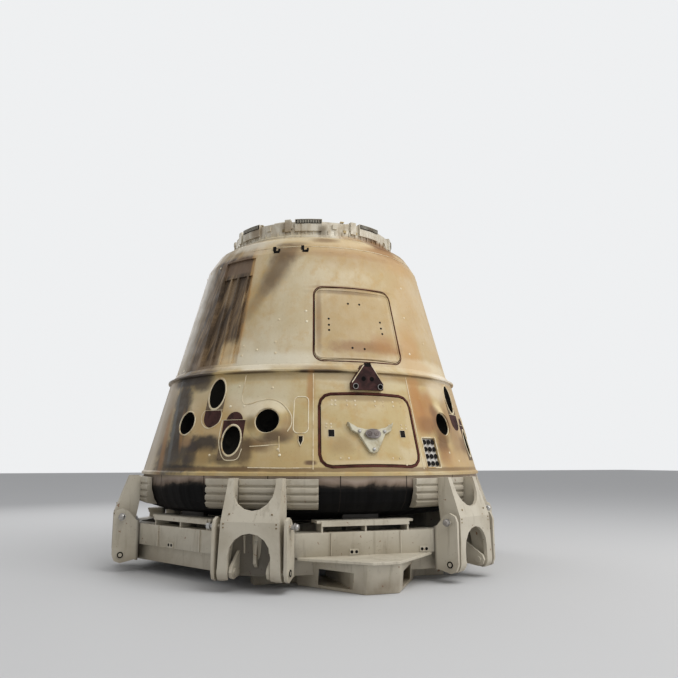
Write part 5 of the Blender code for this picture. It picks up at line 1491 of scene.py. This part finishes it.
    def small_recess(self) -> None:
        """The shield shaped slot left of the bay door: a light bead round a dark plate, which is the slot's
        painted shade.
        """
        shape = np.array(SLOT_SHAPE)
        ahead = np.roll(shape, -1, 0)
        loop = np.concatenate([here + (there - here) * np.linspace(0, 1, 5)[:-1, None]
                               for here, there in zip(shape, ahead)]) + (self.slot_azimuth, 0.0)
        wall_bead(loop, 0.010, 0.005).build("slot_bead", self.finishes.rim, Slot.WALL)
        height = np.linspace(0.257, 0.342, 15)
        half = 0.66 * np.clip((height - 0.250) / 0.05, 0, 1)
        spread = self.slot_azimuth + half[:, None] * np.linspace(-1, 1, 7)
        # the dark plate is painted shade in the slot
        wall_plate(spread, height[:, None]).build("slot_shade_plate", self.finishes.dark, Slot.WALL)

    def fasteners(self) -> Mesh:
        """Low domed heads in the rows and pairs that the walls carry."""
        rows = list(HEADS)
        rows += [(azimuth, 2.205) for azimuth in range(-180, 180, 12) if not -70 < azimuth < 60]
        rows += [(azimuth, 1.062) for azimuth in range(-178, 180, 9) if not -72 < azimuth < 60]
        rows = [(azimuth, level) for azimuth, level in rows if level <= 1.0 or not -68.0 < azimuth < -45.0]
        head = lathe(((0, -0.002), (0.012, -0.002), (0.012, 0.001), (0.008, 0.0035), (0, 0.0042)), 12)
        return wall_heads(head, rows)

    def seams(self) -> Mesh:
        """Thin dark joints down the walls where the panels meet."""
        made = Mesh()
        for azimuth, low, high in SEAMS:
            level = np.linspace(low, high, 24)
            across, _, out = wall_axes(np.full_like(level, azimuth))
            made.join(sweep(on_wall(azimuth, level), across, out, bead(0.004, 0.0012, 4), closed=False))
        return made


@dataclass
class ServiceBay:
    """The bay door with its seal, claw, small cups and rows of heads, and the box behind it."""

    finishes: Finishes
    claw_height: float = 0.360
    cup_azimuths: tuple = (-12.2, 10.95)

    def build(self) -> None:
        """Dress the bay's nodes and add the door's fittings."""
        Dressing(self.finishes.wall, Slot.WALL, round_wall=True).dress("bay_door")
        Dressing(self.finishes.seal, Slot.SEAL, round_wall=True).dress("bay_seal")
        Dressing(self.finishes.claw, Slot.METAL, bevel=0.006).dress("claw_bracket")
        Dressing(self.finishes.metal, Slot.METAL).dress("bay_box")
        Dressing(self.finishes.dark, Slot.STEEL).dress("bay_hinge_rod")
        self.heads().build("bay_door_heads", self.finishes.rim, Slot.WALL, BAY_BODY)
        self.cups().build("bay_door_cups", self.finishes.dark, Slot.MAROON, BAY_BODY)
        self.cup_frames().build("bay_door_cup_frames", self.finishes.rim, Slot.WALL, BAY_BODY)
        self.claw_parts()

    def heads(self) -> Mesh:
        """Pairs and fours of small heads along the door's edges."""
        rows = [(a, h) for a in (-11.8, -10.6, -6.9, -4.2, 2.6, 5.5, 9.2, 12.1) for h in (0.676, 0.636)]
        rows += [(a, h) for a in (-13.6, -12.2, 11.0, 12.7) for h in (0.456, 0.425)]
        rows += [(a, 0.146) for a in (-9.8, -7.4, 6.2, 8.6)] + [(10.6, 0.082), (-7.0, 0.44), (6.5, 0.45)]
        return wall_heads(lathe(((0, -0.002), (0.009, -0.002), (0.009, 0.001), (0, 0.003)), 10), rows)

    def cups(self) -> Mesh:
        """The two small dark squares at the door's sides."""
        return Mesh().join(*[wall_patch(azimuth, 0.338, 0.402, 0.028) for azimuth in self.cup_azimuths])

    def cup_frames(self) -> Mesh:
        """The light frame round each dark square."""
        loop = rounded_loop(0.96, 0.336, 0.404, 0.004, 3)
        return Mesh().join(*[wall_bead(loop + (azimuth, 0.0), 0.005, 0.002) for azimuth in self.cup_azimuths])

    def claw_parts(self) -> None:
        """Bolts on the claw, and the oval plate in its middle."""
        axes = np.stack(wall_axes(0.0))
        origin = on_wall(0.0, self.claw_height)
        bolt = lathe(((0, 0), (0.016, 0), (0.016, 0.012), (0.011, 0.017), (0, 0.018)), 12)
        oval = lathe(((0, -0.4), (1, -0.4), (1, 0.5), (0.92, 1.0), (0.86, 0.7), (0, 0.7)), 40)
        cup = lathe(((0, -0.002), (0.024, -0.002), (0.024, 0.004), (0.018, 0.005), (0.016, 0.001),
                     (0.007, 0.001), (0.005, 0.004), (0, 0.004)), 20)
        finishes = self.finishes
        # columns: name, template, its places across, up and out, its scale along them, finish
        for name, template, places, scale, finish in (
                ("bolts", bolt, ((-0.125, 0.022, 0.0285), (0.125, 0.022, 0.0285), (0.0, -0.148, 0.0285)),
                 (1, 1, 1), finishes.steel),
                ("oval", oval, ((0.0, -0.006, 0.0475),), (0.078, 0.045, 0.006), finishes.boss),
                ("cups", cup, ((-0.034, -0.004, 0.0515), (0.034, -0.004, 0.0515)), (1, 1, 1), finishes.cup)):
            spots = origin + np.array(places) @ axes
            Mesh().stamp(template, spots, *(axes * np.array(scale)[:, None])).build(
                f"claw_{name}", finish, Slot.METAL, BAY_BODY)


@dataclass
class SideHatch:
    """The side hatch with its small holes, dark discs of painted shade, and the bead round its edge."""

    finishes: Finishes
    hole_radius: float = 0.011
    # azimuth and height of each hole
    holes: tuple = ((-3.2, 1.678), (1.8, 1.678), (-11.6, 1.505), (-11.6, 1.440), (-11.6, 1.385),
                    (10.4, 1.503), (10.4, 1.438), (10.6, 1.380), (-3.0, 1.208), (1.8, 1.203))
    # half width in degrees, lowest and highest point, and corner of two rounded loops
    edge: tuple = (16.8, 1.103, 1.817, 0.062)
    seal: tuple = (17.66, 1.067, 1.853, 0.093)

    def build(self) -> None:
        """Dress the hatch and its rod, and add the holes and beads."""
        Dressing(self.finishes.wall, Slot.WALL, round_wall=True).dress("side_hatch")
        Dressing(self.finishes.dark, Slot.STEEL).dress("side_hinge_rod")
        # each hole is a dark disc on the hatch, painted shade
        hole = lathe(((0, -0.002), (self.hole_radius, -0.002), (self.hole_radius, 0.0008), (0, 0.001)), 12)
        wall_heads(hole, self.holes).build("hatch_holes", self.finishes.dark, Slot.WALL, HATCH_BODY)
        wall_bead(rounded_loop(*self.edge), 0.014, 0.003).build(
            "hatch_edge_bead", self.finishes.wall, Slot.WALL, HATCH_BODY)
        wall_bead(rounded_loop(*self.seal), 0.011, 0.003).build(
            "hatch_seal_line", self.finishes.seal, Slot.SEAL)


@dataclass
class ReleaseFitting:
    """The maroon triangle over the ring between the walls."""

    finishes: Finishes
    face: float = 1.7060  # distance of its flat face from the axis
    # the ends of the light edges, across from the middle and in height
    edge_foot: tuple = (0.158, 0.846)
    edge_top: tuple = (0.040, 1.016)

    def build(self) -> None:
        """Dress the fitting and add its holes and bosses."""
        Dressing(self.finishes.maroon, Slot.MAROON, bevel=0.004).dress("release_fitting")
        finishes = self.finishes
        across, out, up = axes = level_axes(0.0)
        hole = lathe(((0, -0.002), (0.022, -0.002), (0.022, 0.0015), (0, 0.002)), 16)
        boss = lathe(((0, -0.004), (0.024, -0.004), (0.024, 0.012), (0.014, 0.012), (0.012, 0.006),
                      (0, 0.006)), 16)
        ring = lathe(((0.023, 0.006), (0.027, 0.006), (0.027, 0.0135), (0.023, 0.0135)), 24)
        tip = box_mesh((0.060, 0.034, 0.030))
        # columns: name, template, its places across, how far it is sunk, height, finish
        for name, template, places, sunk, level, finish in (
                # the holes are dark discs, painted shade
                ("holes", hole, (-0.042, 0.042), 0.0, 0.885, finishes.dark),
                ("bosses", boss, (-0.126, 0.126), 0.0, 0.812, finishes.dark),
                ("boss_rings", ring, (-0.126, 0.126), 0.0, 0.812, finishes.steel),
                ("tip", tip, (0.0,), 0.012, 1.020, finishes.dark)):
            spots = np.array([(x, self.face - sunk, LIFT + level) for x in places]) @ axes
            Mesh().stamp(template, spots, across, up, out).build(f"release_{name}", finish, Slot.MAROON)
        edges = Mesh()
        for side in (-1, 1):
            path = np.array([(side * x, self.face, LIFT + level)
                             for x, level in (self.edge_foot, self.edge_top)]) @ axes
            along = np.broadcast_to(unit(path[1] - path[0]), path.shape)
            edges.join(sweep(path, np.cross(along, out), np.broadcast_to(out, path.shape),
                             bead(0.008, 0.003, 5), closed=False))
        edges.build("release_edges", finishes.faint, Slot.MAROON)


@dataclass
class Connectors:
    """The recess of round connectors right of the bay door."""

    finishes: Finishes
    start: float = 18.5
    end: float = 24.3
    low: float = 0.065
    high: float = 0.335
    proud: float = -0.009  # where the rings sit, the plate lying deeper

    def build(self) -> None:
        """Dress the plate, add a dark ring and face to each connector, and the bead round it."""
        Dressing(self.finishes.white, Slot.CRADLE, bevel=0.001).dress("connector_panel")
        columns = self.start + (self.end - self.start) * (np.arange(3) + 0.5) / 3
        rows = self.low + (self.high - self.low) * (np.arange(4) + 0.5) / 4
        ring = lathe(((0, -0.004), (0.024, -0.004), (0.024, 0.003), (0.017, 0.004), (0.015, 0.001),
                      (0, 0.001)), 14)
        wall_heads(ring, [(azimuth, level) for level in rows for azimuth in columns], self.proud).build(
            "connector_rings", self.finishes.dark, Slot.CRADLE)
        half = (self.end - self.start) / 2
        loop = rounded_loop(half + 0.25, self.low - 0.008, self.high + 0.008, 0.012, 4)
        wall_bead(loop + ((self.start + self.end) / 2, 0.0), 0.014, 0.005).build(
            "connector_bead", self.finishes.rim, Slot.WALL)


@dataclass
class Collar:
    """The berthing ring with its ribs and pads, and the hatch inside it."""

    finishes: Finishes
    # azimuths of the blocks and of the latches
    blocks: tuple = (-49.6, -33.0, -3.4, 9.0, 30.5, 57.4, -74.0)
    latches: tuple = (-38.0, -34.4, 3.8, 12.6, 44.0)
    notch_azimuths: tuple = (-37.2, -23.0)
    # the blocks of a notch: shift along the shoulder, height and sizes
    notch: tuple = ((0.0, 2.292, (0.030, 0.018, 0.070)), (0.030, 2.262, (0.060, 0.018, 0.024)),
                    (0.054, 2.280, (0.018, 0.016, 0.036)))
    line_level: float = 2.322
    line_end: float = 50.0

    def build(self) -> None:
        """Dress the ring and plates and add the fine pieces."""
        finishes = self.finishes
        metal = Dressing(finishes.metal, Slot.METAL, bevel=0.003)
        Dressing(finishes.collar, Slot.METAL, bevel=0.003).dress("berthing_ring")
        for name in ("top_bulkhead", "forward_hatch"):
            metal.dress(name)
        ribs = np.arange(72) * 5.0 + 2.5
        middles = np.array(SEGMENTS_DEG)[:, None]
        pad_level = BERTH_TOP + SEGMENT_RISE - 0.004
        # columns: name, azimuths, distance from the axis, height, sizes, finish
        for name, azimuth, radius, level, sizes, finish in (
                ("ribs", ribs, BERTH_RADIUS + 0.003, 2.565, (0.016, 0.010, 0.060), finishes.collar),
                ("pads", ribs[::6], 0.905, pad_level, (0.040, 0.030, 0.012), finishes.brass),
                ("strips", middles + np.linspace(-7.6, 7.6, 9), SEGMENT_FACE + 0.0005, 2.688,
                 (0.0305, 0.006, 0.044), finishes.dark),
                ("teeth", middles + np.linspace(-7.4, 7.4, 15), SEGMENT_FACE + 0.0035, 2.688,
                 (0.0055, 0.005, 0.034), finishes.metal),
                ("blocks", self.blocks, BERTH_RADIUS + 0.006, 2.640, (0.050, 0.016, 0.050), finishes.collar),
                ("latches", self.latches, BERTH_RADIUS + 0.004, 2.600, (0.034, 0.012, 0.030),
                 finishes.brass)):
            self.ring_boxes(np.ravel(azimuth), radius, level, sizes).build(
                f"collar_{name}", finish, Slot.METAL)
        self.band_line().build("shoulder_line", finishes.line, Slot.WALL)
        self.notches().build("shoulder_notches", finishes.dark, Slot.WALL)

    def ring_boxes(self, azimuth: np.ndarray, radius: float, level: float, sizes: tuple) -> Mesh:
        """Small boxes round the collar.

        Args:
            azimuth: where they stand.
            radius: distance of their middles from the axis.
            level: height of their middles.
            sizes: width along the ring, depth and height.

        Returns:
            The mesh.
        """
        across, out, up = level_axes(azimuth)
        return Mesh().stamp(box_mesh(sizes), out * radius + up * (LIFT + level), across, -out, up)

    def shoulder_radius(self, level: np.ndarray) -> np.ndarray:
        """Outer radius of the shoulder at heights, read from the ring's own outline."""
        places = values_of(frame["nodes"]["shoulder_ring"].data.vertices, "co", 3)
        far, height = np.hypot(places[:, 0], places[:, 1]), places[:, 2] - LIFT
        keys = np.unique(np.round(height, 3))
        widest = np.array([far[np.abs(height - key) < 0.0006].max() for key in keys])
        return np.interp(level, keys, widest)

    def band_line(self) -> Mesh:
        """The fine light line round the shoulder."""
        across, out, up = level_axes(np.linspace(-self.line_end, self.line_end, 120))
        reach = 0.007
        levels = self.line_level + np.array([-reach, 0.0, reach])
        lower, middle, upper = self.shoulder_radius(levels)
        slope = math.atan2(lower - upper, 2 * reach)
        normal = out * math.cos(slope) + up * math.sin(slope)
        path = out * middle + up * (LIFT + self.line_level)
        return sweep(path, np.cross(across, normal), normal, bead(0.007, 0.003, 6), closed=False)

    def notches(self) -> Mesh:
        """The small dark hooks on the shoulder left of the middle: a block with a bent foot."""
        made = Mesh()
        for azimuth in self.notch_azimuths:
            across, out, up = axes = level_axes(azimuth)
            for shift, level, sizes in self.notch:
                radius = float(self.shoulder_radius(np.array(level)))
                spot = np.dot((shift, radius - 0.001, LIFT + level), axes)
                made.stamp(box_mesh(sizes), spot, across, -out, up)
        return made


@dataclass
class Propulsion:
    """The nozzles in the ports and the heat shield below."""

    finishes: Finishes
    cup_wall: float = 0.0010
    plate_half: float = 19.0
    plate_levels: tuple = (0.16, 0.90)
    plate_front: float = 0.150
    plate_back: float = 0.170

    def build(self) -> None:
        """Dress the nozzles, the heat shield and the cabin floor."""
        for index, group in enumerate(PORT_GROUPS, 1):
            name = f"nozzles_{index}"
            cups = self.cups(group).build(f"{name}_cups", self.finishes.nozzle, Slot.NOZZLE)
            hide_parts(name)
        Dressing(self.finishes.tile, Slot.TILE, round_wall=True).dress("heat_shield")
        Dressing(self.finishes.metal, Slot.METAL).dress("cabin_floor")

    def cups(self, group: float) -> Mesh:
        """Four round cups on the plate that carries them.

        A cup's rows are the mouth's loop drawn in and moved back along the port's axis: down its
        inner face to a dished middle, then back up its outer face, which is one wall further out.

        Args:
            group: azimuth of the group's middle.

        Returns:
            The mesh, closed.
        """
        made = Mesh()
        for row in PORTS:
            axis = port_frame(group, row)[1]
            rows = [mouth_loop(group, row, row[2] * share) - axis * depth for share, depth in CUP_ROWS]
            middle = rows[-1].mean(0)
            rows.append(np.broadcast_to(middle, rows[-1].shape))
            rows.append(np.broadcast_to(middle - axis * self.cup_wall, rows[-1].shape))
            for share, depth in CUP_ROWS[::-1]:
                wider = row[2] * share + self.cup_wall
                rows.append(mouth_loop(group, row, wider) - axis * (depth + self.cup_wall * (depth > 0.1)))
            made.grid(np.array(rows), wrap_u=True, wrap_v=True)
        spread = group + np.linspace(-self.plate_half, self.plate_half, 25)
        level = np.linspace(*self.plate_levels, 9)[:, None]
        return made.join(wall_plate(spread[None], level, -self.plate_front, -self.plate_back))


@dataclass
class Cradle:
    """The ring, corner units, arms, pads and feet with their bolts, knobs and ribs."""

    finishes: Finishes
    bevel: float = 0.006
    # places are across and out from the axis, and up from the floor
    arm_bolts: tuple = ((-0.235, 2.140, 0.565), (-0.235, 2.140, 0.535), (0.235, 2.140, 0.565),
                        (0.235, 2.140, 0.535), (-0.19, 2.1205, 0.645), (0.19, 2.1205, 0.645))
    knob_place: tuple = (0.380, 2.070, 0.540)
    nut_place: tuple = (0.344, 2.070, 0.170)
    keel_far: float = 1.900
    keel_half: float = 0.052
    keel_top: float = 0.455
    keel_drop: float = 0.250
    fin_shift: float = 0.112
    fin_half: float = 0.006
    gusset_shifts: tuple = (-0.33, 0.33)
    gusset_level: float = 0.370
    lug_shifts: tuple = (-0.12, 0.56)
    lug_level: float = 0.300
    lug_hole_shifts: tuple = (-0.022, 0.022)

    def build(self) -> None:
        """Dress every node of the cradle and add the small parts."""
        paint = Dressing(self.finishes.cradle, Slot.CRADLE, bevel=self.bevel)
        # the ring's paint carries painted shade on its rests and inner part
        Dressing(self.finishes.ring, Slot.CRADLE, bevel=self.bevel).dress("cradle_ring")
        for name in ("foot_front", "foot_rear"):
            paint.dress(name)
        for index in range(1, ARM_COUNT + 1):
            # painted shade inside the corner units, and low on the pads
            Dressing(self.finishes.corner, Slot.CRADLE, bevel=self.bevel).dress(f"corner_{index}")
            paint.dress(f"arm_{index}")
            Dressing(self.finishes.pad, Slot.CRADLE, bevel=0.003).dress(f"pad_{index}")
            self.arm_parts(index)
        self.corner_parts()
        self.beam_parts()

    def arm_axes(self, index: int) -> np.ndarray:
        """Across, out and up at an arm."""
        return level_axes(FIRST_ARM_DEG + (index - 1) * 360 / ARM_COUNT)

    def arm_parts(self, index: int) -> None:
        """Bolts on an arm's face: four at the fold and two above.

        Args:
            index: the arm's number.
        """
        across, out, up = axes = self.arm_axes(index)
        bolt = lathe(((0, -0.003), (0.0075, -0.003), (0.0075, 0.003), (0.005, 0.005), (0, 0.006)), 8)
        Mesh().stamp(bolt, np.array(self.arm_bolts) @ axes, across, up, out).build(
            f"arm_{index}_bolts", self.finishes.brass, Slot.STEEL, f"arm_{index}_body")

    def corner_parts(self) -> None:
        """Knobs on the lock pins, and pin ends with their nuts, drawn as dark dished discs whose dark is
        painted shade for the pivot holes.
        """
        knobs, nuts, keels = Mesh(), Mesh(), Mesh()
        knob = lathe(((0, -0.03), (0.021, -0.03), (0.021, 0.0), (0.028, 0.006), (0.030, 0.018),
                      (0.024, 0.030), (0.010, 0.036), (0, 0.037)), 16)
        nut = lathe(((0, -0.004), (0.030, -0.004), (0.030, 0.003), (0.020, 0.004), (0.018, -0.001),
                     (0, -0.001)), 20)
        loop = lathe(((0.026, -0.006), (0.036, -0.006), (0.036, 0.002), (0.026, 0.002)), 20)
        for index in range(1, ARM_COUNT + 1):
            across, out, up = axes = self.arm_axes(index)
            for side in (-1, 1):
                turned = (out, side * up, across * side)
                spot, end = np.array([self.knob_place, self.nut_place]) * (side, 1, 1) @ axes
                knobs.stamp(knob, spot, *turned).stamp(loop, spot, *turned)
                nuts.stamp(nut, end, *turned)
            for piece in self.keel_parts():
                keels.stamp(piece, out * self.keel_far, across, out, up)
        knobs.build("lock_pin_knobs", self.finishes.steel, Slot.STEEL)
        # the dark discs at the pin ends are painted shade for the pivot holes
        nuts.build("pivot_holes", self.finishes.dark, Slot.CRADLE)
        keels.build("corner_keels", self.finishes.cradle, Slot.CRADLE)

    def keel_parts(self) -> list[Mesh]:
        """A rounded keel and two pointed fins on a corner unit, drawn at x across, y out and z up.

        The keel's half width at a share s of the way down is its full one x sqrt(1 - s x s x s), and
        it stands out by a half circle of that width. A fin is a triangle that thins to its point.

        Returns:
            The keel and the two fins.
        """
        share = np.linspace(0, 0.97, 12)
        half = self.keel_half * np.sqrt(1 - share ** 3)
        turns = np.linspace(0, math.pi, 13)
        height = self.keel_top - self.keel_drop * share
        arch = np.stack([half[:, None] * np.cos(turns), 0.9 * half[:, None] * np.sin(turns),
                         np.broadcast_to(height[:, None], (12, 13))], -1)
        back = np.stack([np.stack([-half, 0 * half - 0.004, height], -1),
                         np.stack([half, 0 * half - 0.004, height], -1)], 1)
        parts = [Mesh().grid(np.concatenate([arch, back], 1), wrap_v=True, caps=True)]
        for side in (-1, 1):
            corners = np.array([(0.0, -0.004, 0.450), (0.0, 0.050, 0.450), (0.0, 0.012, 0.190),
                                (0.0, -0.004, 0.190)])
            slabs = np.stack([corners + (side * self.fin_shift + x, 0, 0)
                              for x in (-self.fin_half, self.fin_half)])
            parts.append(Mesh().grid(slabs, wrap_v=True, caps=True))
        return parts

    def beam_parts(self) -> None:
        """Thin gussets down the beams' faces, and lugs near their ends with dark discs, painted shade for
        holes.
        """
        plates, holes = Mesh(), Mesh()
        gusset = box_mesh((0.010, 0.018, 0.196))
        lug = box_mesh((0.085, 0.014, 0.048))
        hole = lathe(((0, -0.002), (0.014, -0.002), (0.014, 0.0015), (0, 0.002)), 14)
        for index in range(ARM_COUNT):
            across, out, up = axes = level_axes(FIRST_ARM_DEG + 30 + index * 360 / ARM_COUNT)
            for shift in self.gusset_shifts:
                spot = np.dot((shift, RING_FACE + 0.002, self.gusset_level), axes)
                plates.stamp(gusset, spot, across, -out, up)
            for shift in self.lug_shifts:
                spot = np.dot((shift, RING_FACE + 0.004, self.lug_level), axes)
                plates.stamp(lug, spot, across, -out, up)
                for side in self.lug_hole_shifts:
                    spot = np.dot((shift + side, RING_FACE + 0.0115, self.lug_level), axes)
                    holes.stamp(hole, spot, across, up, out)
        plates.build("beam_gussets", self.finishes.cradle, Slot.CRADLE)
        holes.build("beam_lug_holes", self.finishes.dark, Slot.CRADLE)


# Studio


@dataclass
class Studio:
    """Plain pale floor, soft light and the camera at the photograph's view."""

    camera_place: tuple = (-2.470, -7.602, 1.092)
    heading: float = 20.29
    pitch: float = 10.18
    pale: tuple = (0.86, 0.87, 0.88, 1.0)
    lens: float = 36.0
    sensor: float = 36.0
    floor_reach: float = 60.0
    floor_drop: float = 0.0005
    # columns: name, place, side and power in watts
    lamps: tuple = (("key", (3.2, -7.0, 11.0), 9.0, 860.0), ("fill", (7.5, -6.0, 4.0), 7.0, 160.0),
                    ("back", (-3.0, 8.0, 7.0), 7.0, 260.0))

    def build(self) -> None:
        """Make the floor, the world, the lamps and the camera."""
        self.floor()
        self.world()
        for row in self.lamps:
            self.lamp(*row)
        data = bpy.data.cameras.new("camera")
        data.sensor_width = self.sensor
        data.lens = self.lens
        data.clip_end = 300.0
        camera = bpy.data.objects.new("camera", data)
        camera.location = self.camera_place
        camera.rotation_euler = Euler((math.radians(90 + self.pitch), 0, -math.radians(self.heading)))
        bpy.context.scene.collection.objects.link(camera)
        bpy.context.scene.camera = camera
        bpy.context.scene.view_settings.view_transform = "Standard"

    def floor(self) -> None:
        """A wide pale floor that keeps the object's shadow."""
        spread = np.linspace(-self.floor_reach, self.floor_reach, 3)
        x, y = np.meshgrid(spread, spread, indexing="ij")
        mesh = bpy.data.meshes.new("floor")
        grid = Mesh().grid(np.stack([x, y, 0 * x - self.floor_drop], -1))
        mesh.from_pydata(np.concatenate(grid.points).tolist(), [], grid.faces)
        material, _, shader = principled("pale_floor")
        shader.inputs["Base Color"].default_value = linear(196, 196, 196)
        shader.inputs["Roughness"].default_value = 0.9
        mesh.materials.append(material)
        floor = bpy.data.objects.new("floor", mesh)
        bpy.context.scene.collection.objects.link(floor)

    def world(self) -> None:
        """A plain sky: pale to the camera and to reflections, softer as light."""
        world = bpy.data.worlds.new("sky")
        bpy.context.scene.world = world
        world.use_nodes = True
        g = Graph(world.node_tree)
        light = world.node_tree.nodes["Background"]
        light.inputs[0].default_value = (0.86, 0.87, 0.89, 1.0)
        light.inputs[1].default_value = 0.62
        seen = g.node("ShaderNodeBackground")
        seen.inputs[0].default_value = self.pale
        path = g.node("ShaderNodeLightPath")
        either = g.math("MAXIMUM", path.outputs["Is Camera Ray"], path.outputs["Is Transmission Ray"])
        blend = g.node("ShaderNodeMixShader")
        g.feed(blend.inputs[0], either)
        g.feed(blend.inputs[1], light.outputs[0])
        g.feed(blend.inputs[2], seen.outputs[0])
        g.feed(world.node_tree.nodes["World Output"].inputs[0], blend.outputs[0])

    def lamp(self, name: str, place: tuple, size: float, power: float) -> None:
        """Add an area lamp that faces the capsule.

        Args:
            name: its name.
            place: where it stands.
            size: its side in metres.
            power: its power in watts.
        """
        data = bpy.data.lights.new(name, "AREA")
        data.size = size
        data.energy = power
        lamp = bpy.data.objects.new(name, data)
        lamp.location = place
        lamp.rotation_euler = (Vector((0, 0, 1.8)) - Vector(place)).to_track_quat("-Z", "Y").to_euler()
        bpy.context.scene.collection.objects.link(lamp)


def main() -> None:
    """Build the studio and each sub-assembly in order."""
    logging.basicConfig(level=logging.INFO, format="%(message)s")
    for old in list(bpy.data.objects):
        if old.type in ("LIGHT", "CAMERA") or old.name == "Cube":
            bpy.data.objects.remove(old)
    Studio().build()
    finishes = Finishes()
    for part in (Walls, ServiceBay, SideHatch, ReleaseFitting, Connectors, Collar, Propulsion, Cradle):
        part(finishes).build()
        LOG.info("built %s", part.__name__)


if __name__ == "__main__":
    main()
